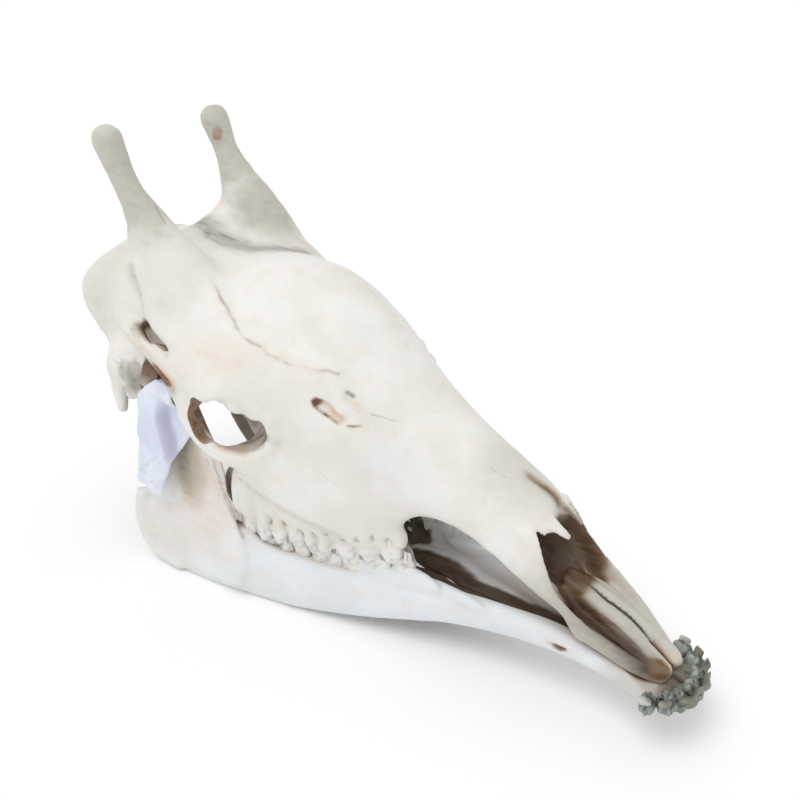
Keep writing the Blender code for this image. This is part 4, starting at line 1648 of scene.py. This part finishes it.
class Shading:
    """Smooth shading and paint of an uncut skin, given back to the bones cut from it."""

    def __init__(self, skin: Body) -> None:
        """Keep the skin's faces and vertex normals.

        Args:
            skin: The skin before it is cut.
        """
        self.tree = tree_of([skin])
        self.faces = [tuple(face.vertices) for face in skin.data.polygons]
        self.rows = plain_rows(skin.data)
        columns = [normals_of(skin.data)]
        for brush in PAINTS:
            values = np.empty(len(self.rows), np.float32)
            skin.data.attributes[brush.value].data.foreach_get("value", values)
            columns.append(values[:, None])
        self.values = np.concatenate(columns, axis=1)

    def at(self, point: Vector) -> np.ndarray:
        """Smooth normal and paint of the skin nearest to a point.

        Args:
            point: Place in metres.

        Returns:
            The unit normal and one value for each mask.
        """
        corners = list(self.faces[self.tree.find_nearest(point)[2]])
        share = 1.0 / (np.linalg.norm(self.rows[corners] - point, axis=1) + 1e-6)
        mixed = (self.values[corners] * share[:, None]).sum(axis=0) / share.sum()
        mixed[:3] /= np.linalg.norm(mixed[:3])
        return mixed

    def mend(self, bone: Body, seams: tuple[tuple[Point, Point], ...], reach: float = 3.0,
             flat: float = 0.985) -> None:
        """Hide the step in shading and paint where the bone was cut from the skin.

        Args:
            bone: Piece cut from the skin.
            seams: Point and direction of each cut plane.
            reach: Distance from the cut over which the shading is given back, in millimetres.
            flat: Cosine over which a face lies in the cut plane and stays flat.
        """
        mesh = bone.data
        rows = rows_of(mesh)
        near = np.zeros(len(rows), bool)
        for spot_at, direction in seams:
            near |= np.abs((rows - spot_at) @ np.array(direction)) < reach
        found = {i: self.at(mesh.vertices[i].co) for i in np.flatnonzero(near).tolist()}
        for column, brush in enumerate(PAINTS, 3):
            layer = mesh.attributes[brush.value].data
            for i, value in found.items():
                layer[i].value = value[column]
        loops = [(0.0, 0.0, 0.0)] * len(mesh.loops)
        for face in mesh.polygons:
            if not any(near[i] for i in face.vertices):
                continue
            if any(abs(face.normal.dot(Vector(direction))) > flat for _, direction in seams):
                continue
            for index in face.loop_indices:
                vertex = mesh.loops[index].vertex_index
                if near[vertex]:
                    loops[index] = tuple(found[vertex][:3])
        mesh.normals_split_custom_set(loops)


@dataclass
class UpperSkull:
    """Skin over the cranium, horns and muzzle bones, parted again along their seams.

    Lengths are in millimetres. A filling or scoop is given by its centre, its radii and its pitch, and
    the outlines under the teeth and round the muzzle bones by x and z.
    """

    nodes: dict[str, Body]
    sculptor: Sculptor
    material: bpy.types.Material
    voxel: float = 2.15
    passes: int = 60
    horn_seam: float = 342.15
    fillings: tuple[tuple, ...] = (
        ((172, 90, 246), (6, 6, 6)), ((188, 91, 243), (13, 8, 12)), ((205, 93, 240), (14, 8, 12)),
        ((222, 89, 236), (13, 8, 11)), ((237, 85, 231), (9, 8, 7)), ((283, 58.5, 241), (15, 6.5, 9)),
        ((52, 70, 206), (14, 8, 16)), ((54, 72, 192), (10, 6, 13)), ((45, 70, 184), (7, 5, 10)),
        ((181, 67, 114), (10, 9, 24)), ((177, 72, 128), (7, 8, 34), 8.0),
        ((497, 2.6, 106), (28, 3.8, 7), 25.0), ((530, 3.2, 92), (28, 4.4, 7.5), 27.0))
    scoops: tuple[tuple, ...] = (
        ((174, 98, 216), (15, 20, 26)), ((109, 88, 271), (35, 15, 5), 6.0), ((92, 93, 226), (18, 19, 16)),
        ((123, 104, 246), (20, 9, 5.5), 25.0))
    near_scoop: tuple = ((516, 17.5, 98), (50, 5.5, 8.5), 24.7)
    far_filling: tuple = ((520, 14.5, 90), (42, 9, 8.5), 27.0)
    under_teeth: tuple[Span, ...] = (
        (165, 40), (165, 77), (221, 79), (281, 85), (336, 101), (356, 103), (356, 40))
    muzzle: tuple[Span, ...] = (
        (440.15, 165.8), (506.15, 76.0), (520, 10), (660, 10), (660, 100), (487, 147), (452, 172.5))
    muzzle_rear: float = 425.0
    half_width: float = 60.0
    teeth_half_width: float = 80.0
    rearmost: float = -20.0
    rough_span: Span = (110.0, 20.0)
    knob_span: Span = (352.0, 372.0)
    horn_face: Span = (0.0, 342.3)
    muzzle_face: Span = (440.3, 165.6)
    touch: float = 0.12
    overlap: float = 1.6

    def grow(self) -> Body:
        """Make the whole skin and press the marks into it.

        Returns:
            The skin as one object.
        """
        names = ("cranium", "ossicone_left", "ossicone_right", "premaxilla_left", "premaxilla_right")
        copies = [copy_of_node(self.nodes[name], name + "_copy") for name in names]
        for copy in copies[1:3]:
            self.reach_back(copy, self.horn_face, (0.0, -1.0))
        along = np.array(self.muzzle[1]) - self.muzzle[0]
        along /= np.linalg.norm(along)
        for copy in copies[3:]:
            self.reach_back(copy, self.muzzle_face, (along[1], -along[0]))
        for sign in SIGNS:
            copies += [lump(*shape, sign=sign) for shape in self.fillings]
        copies.append(lump(*self.far_filling))
        skin = join(copies, "skull_skin")
        grow_together(skin, self.voxel)
        for sign in SIGNS:
            for shape in self.scoops + (self.near_scoop,) * (sign < 0.0):
                carve(skin, lump(*shape, sign=sign))
        carve(skin, slab(self.under_teeth, -self.teeth_half_width, self.teeth_half_width))
        Smoothing(self.passes).apply(skin)
        self.sculptor.refine(skin)
        self.sculptor.press(skin)
        self.roughen(skin)
        return skin

    def roughen(self, skin: Body) -> None:
        """Uneven surface of weathered bone, rougher towards the back.

        Args:
            skin: The skin to roughen.
        """
        rows = rows_of(skin.data)
        rear = below(rows[:, 0], *self.rough_span)
        knob = smoothstep(rows[:, 2], *self.knob_span)
        lift = ripple(rows, 24.0) * 0.35 + ripple(rows, 7.0, 31.0) * (0.10 + 0.55 * rear)
        lift += ripple(rows * (1.0, 1.0, 0.45), 5.0, 11.0) * knob * 0.35
        rows += normals_of(skin.data) * lift[:, None]
        rows[:, 0] = np.maximum(rows[:, 0], self.rearmost)
        set_rows(skin.data, rows)

    def reach_back(self, copy: Body, start: Span, inward: Span) -> None:
        """Move the vertices of a seam face a little into the neighbour, so that the skins join.

        Args:
            copy: Piece whose seam face is moved.
            start: x and z of a point on the seam.
            inward: Direction of the move in x and z.
        """
        rows = rows_of(copy.data)
        gap = (rows[:, 0] - start[0]) * inward[0] + (rows[:, 2] - start[1]) * inward[1]
        on = np.abs(gap) < self.touch
        rows[on, 0] += inward[0] * self.overlap
        rows[on, 2] += inward[1] * self.overlap
        set_rows(copy.data, rows)

    def part(self, skin: Body) -> list[Piece]:
        """Cut the skin into its bones along the nodes' seams.

        Args:
            skin: The painted skin, which becomes the cranium.

        Returns:
            The five bones.
        """
        pieces = []
        whole = Shading(skin)
        origin = (0.0, 0.0, 0.0)
        horn_foot = (0.0, 0.0, self.horn_seam)
        for side, low, high in ((LEFT, 0.0, self.half_width), (RIGHT, -self.half_width, 0.0)):
            bone = duplicate(skin, f"muzzle_bone_{side.label}")
            slice_off(bone, (self.muzzle_rear, 0.0, 0.0), (-1.0, 0.0, 0.0))
            carve(bone, slab(self.muzzle, low, high), "INTERSECT")
            pieces.append(Piece(bone, (f"premaxilla_{side.label}",), "muzzle_bone", self.material))
        for side in SIDES:
            bone = duplicate(skin, f"horn_{side.label}")
            slice_off(bone, horn_foot, (0.0, 0.0, -1.0))
            slice_off(bone, origin, (0.0, -float(side.value), 0.0))
            pieces.append(Piece(bone, (f"ossicone_{side.label}",), "horn_bone", self.material))
        slice_off(skin, horn_foot, (0.0, 0.0, 1.0))
        carve(skin, slab(self.muzzle, -self.half_width, self.half_width))
        skin.name = "cranium_bone"
        pieces.append(Piece(skin, ("cranium",), "cranium_bone", self.material))
        start, end = (np.array(corner) for corner in self.muzzle[:2])
        along = (end - start) / np.linalg.norm(end - start)
        seams = (((start[0], 0.0, start[1]), (along[1], 0.0, -along[0])), (horn_foot, (0.0, 0.0, 1.0)))
        middle = (origin, (0.0, 1.0, 0.0))
        for piece in pieces:
            finish_edges(piece.obj)
            whole.mend(piece.obj, seams + (middle,) * (piece.slot == "muzzle_bone"))
        return pieces


@dataclass
class JawHalf:
    """One half of the lower jaw. Lengths are in millimetres."""

    nodes: dict[str, Body]
    side: Side
    sculptor: Sculptor
    material: bpy.types.Material
    voxel: float = 1.6
    passes: int = 50
    half_gap: float = 0.15
    lowest: float = 0.02
    seam_span: Span = (0.5, 3.0)
    # Lumps grown onto the half. Those from (520, 7, 59) to (345, 18, 53) lay a shelf across the gap between
    # the halves, which is painted dark as painted shade.
    ridge: tuple[tuple, ...] = (
        ((300, 41, 68), (42, 7, 13)), ((340, 36, 72), (34, 6, 13)), ((378, 30, 68), (40, 5.5, 8)),
        ((520, 7, 59), (40, 8, 5)), ((475, 8, 51), (40, 11, 5)), ((435, 10, 48), (42, 14, 5)),
        ((391, 14, 50), (45, 16, 5)), ((345, 18, 53), (42, 18, 6)),
        ((588, 12, 51.5), (16, 13, 8)), ((560, 8, 55), (22, 9, 5)))
    knuckle: tuple = ((76, 103, 204), (13, 12, 15))

    def grow(self) -> Body:
        """Make the skin and press the marks into it.

        Returns:
            The bone.
        """
        name = f"mandible_bone_{self.side.label}"
        sign = float(self.side.value)
        parts = [copy_of_node(self.nodes[f"mandible_{self.side.label}"], name)]
        parts += [lump(*shape, sign=sign) for shape in self.ridge]
        bone = join(parts, name)
        grow_together(bone, self.voxel)
        carve(bone, lump(*self.knuckle, sign=sign))
        slice_off(bone, (0.0, self.half_gap * sign, 0.0), (0.0, -sign, 0.0))
        Smoothing(self.passes).apply(bone)
        self.sculptor.refine(bone)
        self.sculptor.press(bone)
        rows = rows_of(bone.data)
        lift = ripple(rows, 20.0, 5.0) * 0.3 + ripple(rows, 6.0, 17.0) * 0.10
        lift *= smoothstep(np.abs(rows[:, 1]), *self.seam_span)
        rows += normals_of(bone.data) * lift[:, None]
        rows[:, 2] = np.maximum(rows[:, 2], self.lowest)
        set_rows(bone.data, rows)
        return bone

    def piece(self, bone: Body) -> Piece:
        """Finished piece for the bone.

        Args:
            bone: The painted bone.

        Returns:
            The piece with its node.
        """
        finish_edges(bone)
        return Piece(bone, (f"mandible_{self.side.label}",), "jaw_bone", self.material)


@dataclass
class Crowns:
    """A row of tooth crowns, each bent from the same upright column."""

    side: Side
    sides: int = 28
    levels: int = 10
    insets: int = 3
    neck_span: Span = (0.35, 0.75)

    def column(self) -> Body:
        """Upright column one unit wide and high, with level rings and stepped ends.

        Returns:
            The column.
        """
        deselect()
        bpy.ops.mesh.primitive_cylinder_add(vertices=self.sides, radius=1.0, depth=1.0, end_fill_type="NGON")
        obj = bpy.context.active_object
        for level in range(1, self.levels):
            edit(obj)
            bpy.ops.mesh.bisect(plane_co=(0, 0, level / self.levels - 0.5), plane_no=(0, 0, 1))
        deselect()
        for face in obj.data.polygons:
            face.select = abs(face.normal.z) > 0.9
        activate(obj)
        bpy.ops.object.mode_set(mode="EDIT")
        bpy.ops.mesh.select_mode(type="FACE")
        for _ in range(self.insets):
            bpy.ops.mesh.inset(thickness=0.25)
        bpy.ops.mesh.select_mode(type="VERT")
        deselect()
        return obj

    @staticmethod
    def polar(unit: np.ndarray) -> tuple[np.ndarray, np.ndarray, np.ndarray]:
        """Read the unit column as rings.

        Args:
            unit: Vertices of the unit column.

        Returns:
            Distance from the axis, angle round it and height from 0 to 1.
        """
        reach = np.minimum(np.hypot(unit[:, 0], unit[:, 1]), 1.0)
        return reach, np.arctan2(unit[:, 1], unit[:, 0]), unit[:, 2] + 0.5

    def row(self, name: str, shapes: list[CrownShape], column: Body) -> Body:
        """Copy the column once for each shape and join the crowns.

        Args:
            name: Name of the row.
            shapes: Vertices in millimetres, mask of soiling and painted shade, and neck mask of each crown.
            column: The upright column.

        Returns:
            The row as one object.
        """
        crowns = []
        for rows, furrow, neck in shapes:
            crown = duplicate(column, "crown")
            set_rows(crown.data, rows * (1.0, self.side.value, 1.0))
            write_mask(crown.data, "furrow", furrow)
            write_mask(crown.data, "neck", neck)
            crowns.append(crown)
        drop(column)
        row = join(crowns, f"{name}_{self.side.label}")
        face_outwards(row)
        finish_edges(row)
        return row


@dataclass
class CheekTeeth(Crowns):
    """Grinding teeth of one side of the upper jaw, each molar with two lobes.

    Lengths are in millimetres. Each width is a tooth's share of the row, from the back.
    """

    name: str = "upper_cheek_teeth"
    seed: int = 21
    upper: bool = True
    row_rear: float = 171.0
    row_front: float = 335.0
    rear_y: float = 60.0
    front_y: float = 36.0
    curve: float = 1.25
    deep: float = 10.8
    narrower: float = 0.5
    shift: float = 1.6
    tall: float = 32.0
    sunk: float = 1.0
    molars: int = 3
    squareness: float = 2.6
    widths: tuple[float, ...] = (0.205, 0.2, 0.185, 0.14, 0.14, 0.13)
    bite_x: tuple[float, ...] = (171.0, 221.0, 281.0, 335.0, 352.0)
    bite_z: tuple[float, ...] = (74.0, 76.0, 82.0, 95.0, 93.0)

    def spot(self, along: float, out: float) -> np.ndarray:
        """Place on the tooth row at no height.

        Args:
            along: Share of the row from the back, 0 to 1.
            out: Distance towards the cheek.

        Returns:
            The place in millimetres.
        """
        x = self.row_rear + (self.row_front - self.row_rear) * along
        y = self.rear_y + (self.front_y - self.rear_y) * along ** self.curve + out
        return np.array((x, y, 0.0))

    def build(self) -> Body:
        """Make the row of crowns.

        Returns:
            The crowns as one object.
        """
        column = self.column()
        unit = plain_rows(column.data)
        chance = np.random.default_rng(self.seed)
        shapes = []
        start = 0.0
        for number, width in enumerate(self.widths):
            parts = 2 if number < self.molars else 1
            for part in range(parts):
                middle = start + width * (part + 0.5) / parts
                shapes.append(self.shape(unit, middle, width / parts, number, chance))
            start += width
        return self.row(self.name, shapes, column)

    def shape(self, unit: np.ndarray, middle: float, width: float, number: int,
              chance: np.random.Generator) -> CrownShape:
        """Bend the unit column into one lobe of a crown.

        Args:
            unit: Vertices of the unit column.
            middle: Share of the row at the lobe's middle.
            width: Share of the row that the lobe takes.
            number: Number of the tooth from the back.
            chance: Source of the small differences.

        Returns:
            The vertices in millimetres, the mask of soiling and painted shade, and the neck mask.
        """
        long = width * (self.row_front - self.row_rear) * 0.5
        long *= chance.uniform(0.92, 1.04)
        deep = self.deep - self.narrower * number
        shift = self.shift + chance.uniform(-1.0, 1.0)
        bend = chance.uniform(-0.12, 0.12)
        bite = float(np.interp(self.spot(middle, 0.0)[0], self.bite_x, self.bite_z))
        bite += chance.uniform(-1.6, 1.6)
        reach, angle, height = self.polar(unit)
        if self.upper:
            height = 1.0 - height
        outer = np.sin(angle)
        cosine = np.abs(np.cos(angle))
        rib = np.exp(-((angle - math.pi / 2) / 0.28) ** 2)
        corner = np.exp(-((np.abs(angle - math.pi / 2) - 1.05) / 0.2) ** 2)
        inner = np.exp(-((angle + math.pi / 2) / 0.5) ** 2)
        power = self.squareness
        radius = 1.0 / (cosine ** power + np.abs(outer) ** power) ** (1 / power)
        radius *= 1.0 + 0.10 * rib + 0.09 * corner + 0.06 * inner
        radius *= 1.0 - 0.28 * smoothstep(height, 0.8, 1.02) - 0.45 * smoothstep(1.0 - height, 0.4, 1.0)
        cusp = 3.0 * np.clip(outer, 0.0, 1.0) ** 0.7 * (1.0 - cosine ** 1.4) * reach ** 2
        cusp += 1.6 * np.clip(-outer, 0.0, 1.0) * reach ** 2
        basin = 1.8 * (1.0 - reach) * (0.4 + 0.6 * np.abs(np.cos(angle * 2 + number)))
        level = height * (self.tall + np.where(height > 0.985, cusp - basin, cusp * height ** 6))
        ahead = self.spot(middle + 0.01, 0.0) - self.spot(middle - 0.01, 0.0)
        ahead /= np.linalg.norm(ahead)
        across = np.array((-ahead[1], ahead[0], 0.0))
        lean = (height - 0.5) * self.tall * bend
        rows = self.spot(middle, shift) + ahead * (np.cos(angle) * radius * reach * long + lean)[:, None]
        rows += across * (outer * radius * reach * deep)[:, None]
        up = 1.0 if self.upper else -1.0
        rows[:, 2] = bite - self.sunk + up * (self.tall - level)
        wrinkle = ripple(rows * (1.0, 1.0, 0.5), 2.0, 3.0 + number) * 0.45 + ripple(rows, 5.0, 9.0) * 1.1
        sideways = ahead * np.cos(angle)[:, None] + across * outer[:, None]
        rows += sideways * (wrinkle * (reach > 0.9))[:, None]
        # Darker where neighbouring lobes meet, which is painted shade, and soiled in the basin of the top and
        # in the wrinkles.
        furrow = np.maximum(smoothstep(cosine, 0.72, 0.98) * 0.55, (1.0 - reach) * 0.3 * (height > 0.98))
        furrow = np.maximum(furrow, smoothstep(-wrinkle, 0.1, 0.5) * 0.4)
        return rows, furrow, smoothstep(1.0 - height, *self.neck_span)


@dataclass
class LowerCheekTeeth(CheekTeeth):
    """Grinding teeth of one side of the lower jaw, narrower and in a longer row."""

    name: str = "lower_cheek_teeth"
    seed: int = 33
    upper: bool = False
    row_front: float = 345.0
    front_y: float = 34.0
    deep: float = 8.2
    shift: float = -1.4
    tall: float = 34.0
    sunk: float = 1.6


@dataclass
class FrontTeeth(Crowns):
    """Three incisors and the lobed canine of one side of the lower jaw.

    Lengths are in millimetres. The stops are shares of a crown's height, with its offset, rise and
    half sizes at each of them.
    """

    sides: int = 24
    levels: int = 12
    count: int = 4
    first_turn: float = 12.0
    turn_step: float = 23.0
    arc_x: float = 563.0
    arc_long: float = 36.0
    arc_wide: float = 37.0
    base: float = 54.0
    stops: tuple[float, ...] = (0.0, 0.3, 0.55, 0.76, 0.9, 1.0)
    forwards: tuple[float, ...] = (-16.0, -7.5, -3.0, -0.3, 0.6, 1.0)
    lifts: tuple[float, ...] = (-8.0, -5.0, -0.5, 3.6, 6.0, 7.2)
    wides: tuple[float, ...] = (3.0, 4.8, 7.4, 8.0, 6.2, 2.4)
    thicks: tuple[float, ...] = (3.0, 6.0, 9.0, 9.6, 7.8, 3.2)
    lobed: Span = (0.07, 0.16)
    flutes: tuple[int, int] = (2, 3)

    def build(self) -> Body:
        """Make the four crowns.

        Returns:
            The crowns as one object.
        """
        column = self.column()
        unit = plain_rows(column.data)
        chance = np.random.default_rng(5 if self.side is LEFT else 8)
        shapes = [self.shape(unit, number, chance) for number in range(self.count)]
        return self.row("front_teeth", shapes, column)

    def shape(self, unit: np.ndarray, number: int, chance: np.random.Generator) -> CrownShape:
        """Bend the unit column into one spade-shaped crown.

        Args:
            unit: Vertices of the unit column.
            number: Number of the tooth from the middle; the last is the canine.
            chance: Source of the small differences.

        Returns:
            The vertices in millimetres, the mask of soiling and painted shade, and the neck mask.
        """
        turn = math.radians(self.first_turn + self.turn_step * number + chance.uniform(-4.0, 4.0))
        centre = np.array((self.arc_x + self.arc_long * math.cos(turn), self.arc_wide * math.sin(turn),
                           self.base - number))
        out = np.array((math.cos(turn), math.sin(turn), 0.0))
        across = np.array((-math.sin(turn), math.cos(turn), 0.0))
        front = out * 0.8 + np.array((0.0, 0.0, -0.6))
        reach, angle, height = self.polar(unit)
        grown = chance.uniform(0.84, 1.1)
        forward = np.interp(height, self.stops, self.forwards) + chance.uniform(-2.5, 1.0)
        lift = np.interp(height, self.stops, self.lifts) * grown + chance.uniform(-2.0, 2.0)
        wide = np.interp(height, self.stops, self.wides) * grown
        thick = np.interp(height, self.stops, self.thicks)
        canine = number == self.count - 1
        lobed = self.lobed[canine]
        flute = np.cos(np.cos(angle) * math.pi * self.flutes[canine])
        flute *= np.clip(height * 1.6 - 0.5, 0.0, 1.0)
        ragged = ripple(np.stack((np.cos(angle) * wide, height * 9, angle * 0 + number), axis=1), 2.2, 4.0)
        rows = centre + out * forward[:, None]
        rows[:, 2] += lift
        rows += across * (np.cos(angle) * reach * wide)[:, None]
        rows += front * (np.sin(angle) * reach * thick * (1.0 + lobed * flute))[:, None]
        rows += front * (ragged * 2.2 * (reach > 0.9))[:, None]
        rows[:, 2] += (ragged * 1.4 + lobed * 6.0 * flute) * smoothstep(height, 0.8, 1.0)
        # Darker in the flutes, in the wrinkles and at the tip from soiling, and where neighbouring crowns
        # meet, which is painted shade.
        furrow = smoothstep(-flute, 0.2, 1.0) * 0.6 + smoothstep(np.abs(np.cos(angle)), 0.78, 0.98)
        furrow = np.maximum(furrow, smoothstep(-ragged, 0.0, 0.45) * 0.7)
        furrow = np.maximum(furrow, smoothstep(height, 0.9, 1.0) * 0.5)
        return rows, furrow, smoothstep(1.0 - height, *self.neck_span)


@dataclass
class JawWrap:
    """Folded strip that ties one jaw joint, up the outer face, over the joint and down inside.

    Lengths are in millimetres. The path gives y and z of its middle from the outer end, and the levels
    are heights with the x of its rear and front edge.
    """

    side: Side
    across_count: int = 26
    along_count: int = 84
    thick: float = 1.1
    path_y: tuple[float, ...] = (
        97.5, 98.5, 99.5, 100.5, 102.0, 103.5, 102.0, 94.0, 84.0, 72.0, 65.0, 62.0, 63.0, 65.0, 66.0)
    path_z: tuple[float, ...] = (
        101.0, 118.0, 138.0, 160.0, 182.0, 204.0, 222.0, 229.0, 224.0, 208.0, 190.0, 170.0, 148.0, 126.0,
        106.0)
    levels: tuple[float, ...] = (101, 110, 131, 156, 185, 205, 216, 224, 229)
    rear_x: tuple[float, ...] = (68, 66, 74, 80, 85, 91, 96, 103, 110)
    front_x: tuple[float, ...] = (97, 101, 112, 124, 146, 140, 137, 134, 130)
    inner_rear: float = 3.0
    inner_front: float = 118.0
    outer_y: float = 85.0
    fold_end: float = 0.42
    fold_x: float = 119.0
    fold_rise: float = 10.0
    fold_sink: float = 3.4
    fold_start_z: Span = (140.0, 160.0)
    fold_stop_z: Span = (205.0, 218.0)
    # Where the painted shade along the fold's crease lies, and how strong it is.
    grime_x: float = 120.5
    grime_width: float = 3.4
    grime_start_z: Span = (136.0, 160.0)
    grime_stop_z: Span = (196.0, 214.0)
    crease_shaded: float = 0.75

    def path(self, share: float) -> Span:
        """y and z of the strip's middle.

        Args:
            share: Share of the length, from the outer end.

        Returns:
            Distance from the middle of the skull and height.
        """
        stops = np.linspace(0.0, 1.0, len(self.path_y))
        return float(np.interp(share, stops, self.path_y)), float(np.interp(share, stops, self.path_z))

    def build(self) -> Body:
        """Make the folded strip.

        Returns:
            The strip with its thickness.
        """
        deselect()
        bpy.ops.mesh.primitive_grid_add(x_subdivisions=self.across_count, y_subdivisions=self.along_count,
                                        size=2.0)
        strip = bpy.context.active_object
        strip.name = f"jaw_wrap_strip_{self.side.label}"
        shares = plain_rows(strip.data) * 0.5 + 0.5
        rows = np.array([self.spot(u, v) for u, v, _ in shares])
        set_rows(strip.data, rows * (1.0, self.side.value, 1.0))
        near = rows[:, 1] > self.outer_y
        # Painted shade along the crease of the fold on the outer face.
        crease = np.exp(-((rows[:, 0] - self.grime_x) / self.grime_width) ** 2)
        crease *= smoothstep(rows[:, 2], *self.grime_start_z)
        crease *= 1.0 - smoothstep(rows[:, 2], *self.grime_stop_z)
        write_mask(strip.data, "furrow", crease * near * self.crease_shaded)
        wall = strip.modifiers.new("wall", "SOLIDIFY")
        wall.thickness = self.thick * MM
        wall.offset = 0.0
        smooth = strip.modifiers.new("smooth", "SUBSURF")
        smooth.levels = 1
        smooth.render_levels = 1
        apply_modifiers(strip)
        face_outwards(strip)
        activate(strip)
        bpy.ops.object.shade_smooth()
        deselect()
        return strip

    def spot(self, u: float, v: float) -> Point:
        """Place on the strip.

        Args:
            u: Share of the width, from the rear edge.
            v: Share of the length, from the outer end.

        Returns:
            The place in millimetres, on the left side.
        """
        y, z = self.path(v)
        rear = float(np.interp(z, self.levels, self.rear_x))
        front = float(np.interp(z, self.levels, self.front_x))
        inside = v > 0.5
        if inside:
            rear, front = rear + self.inner_rear, min(front, self.inner_front)
        x = rear + (front - rear) * u
        edge = max(0.0, 1.0 - u / 0.07) ** 2 * 3.5 + max(0.0, (u - 0.94) / 0.06) ** 2 * 2.5
        fold = 0.0
        if v < self.fold_end:
            crease = (self.fold_x - rear) / (front - rear)
            flap = float(smoothstep(z, *self.fold_start_z)) * (1.0 - float(smoothstep(z, *self.fold_stop_z)))
            fold = float(smoothstep(u, crease - 0.03, crease + 0.04)) * self.fold_rise * flap
            fold -= self.fold_sink * math.exp(-((u - crease + 0.05) / 0.05) ** 2) * flap
        crumple = noise.noise(Vector((x * 0.07, y * 0.05, z * 0.05))) * 2.2
        crumple += noise.noise(Vector((x * 0.22 + 9, y * 0.1, z * 0.16))) * 0.9
        y -= (-1.0 if inside else 1.0) * (edge + fold - crumple - 0.8)
        if v < 0.06:
            z += (0.5 - u) * 10.0 * (1.0 - v / 0.06)
        if v < 0.2:
            y -= math.exp(-((z - 116 + (x - 84) * 0.7) / 1.6) ** 2) * 2.6
            y -= math.exp(-((z - 128 - (x - 84) * 0.9) / 1.8) ** 2) * 1.6
        return (x, y, z)


def main() -> None:
    """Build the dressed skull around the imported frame."""
    logging.basicConfig(level=logging.INFO, format="%(name)s: %(message)s")
    noise.seed_set(NOISE_SEED)
    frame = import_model()
    nodes = frame["nodes"]
    Studio().build()
    effects = SharedEffects()
    bone = BoneFinish("weathered_skull_bone").build(effects)
    # The jaw's bluer bone colour is painted cool light.
    cool = BoneFinish("cool_jaw_bone", clean=(0.74, 0.76, 0.755), pale=(0.80, 0.825, 0.835))
    jaw_bone = cool.build(effects)
    enamel = EnamelFinish("cheek_tooth_enamel", (0.80, 0.79, 0.76), (0.70, 0.68, 0.63),
                          (0.30, 0.27, 0.21)).build(effects)
    dirty = EnamelFinish("grimy_front_enamel", (0.36, 0.39, 0.365), (0.19, 0.20, 0.155),
                         (0.016, 0.016, 0.011), patched=0.54).build(effects)
    cloth = ClothFinish().build(effects)

    # Inside the right side of the nose the hollows get the darkest paint, painted shade with the stain.
    nose = (spot(DEEP, 1.0, (500, -18, 118), (80, 16, 60), side=RIGHT, ragged=1.0),)
    upper = UpperSkull(nodes, Sculptor(SkullMarks().all(), nose), bone)
    skin = upper.grow()
    halves = [JawHalf(nodes, side, Sculptor(JawMarks().all()), jaw_bone) for side in SIDES]
    jaws = [half.grow() for half in halves]
    tree = tree_of([skin] + jaws)
    upper.sculptor.paint(skin, tree)
    for half, jaw in zip(halves, jaws):
        half.sculptor.paint(jaw, tree)
    for piece in upper.part(skin) + [half.piece(jaw) for half, jaw in zip(halves, jaws)]:
        piece.settle()
    for side in SIDES:
        label = side.label
        jaw = (f"mandible_{label}",)
        Piece(CheekTeeth(side).build(), ("cranium",), "cranium_bone", enamel).settle()
        Piece(LowerCheekTeeth(side).build(), jaw, "jaw_bone", enamel).settle()
        Piece(FrontTeeth(side).build(), jaw, "jaw_bone", dirty).settle()
        wrap = JawWrap(side).build()
        Piece(wrap, (f"jaw_wrap_{label}",), "jaw_wrap", cloth).settle()


if __name__ == "__main__":
    main()
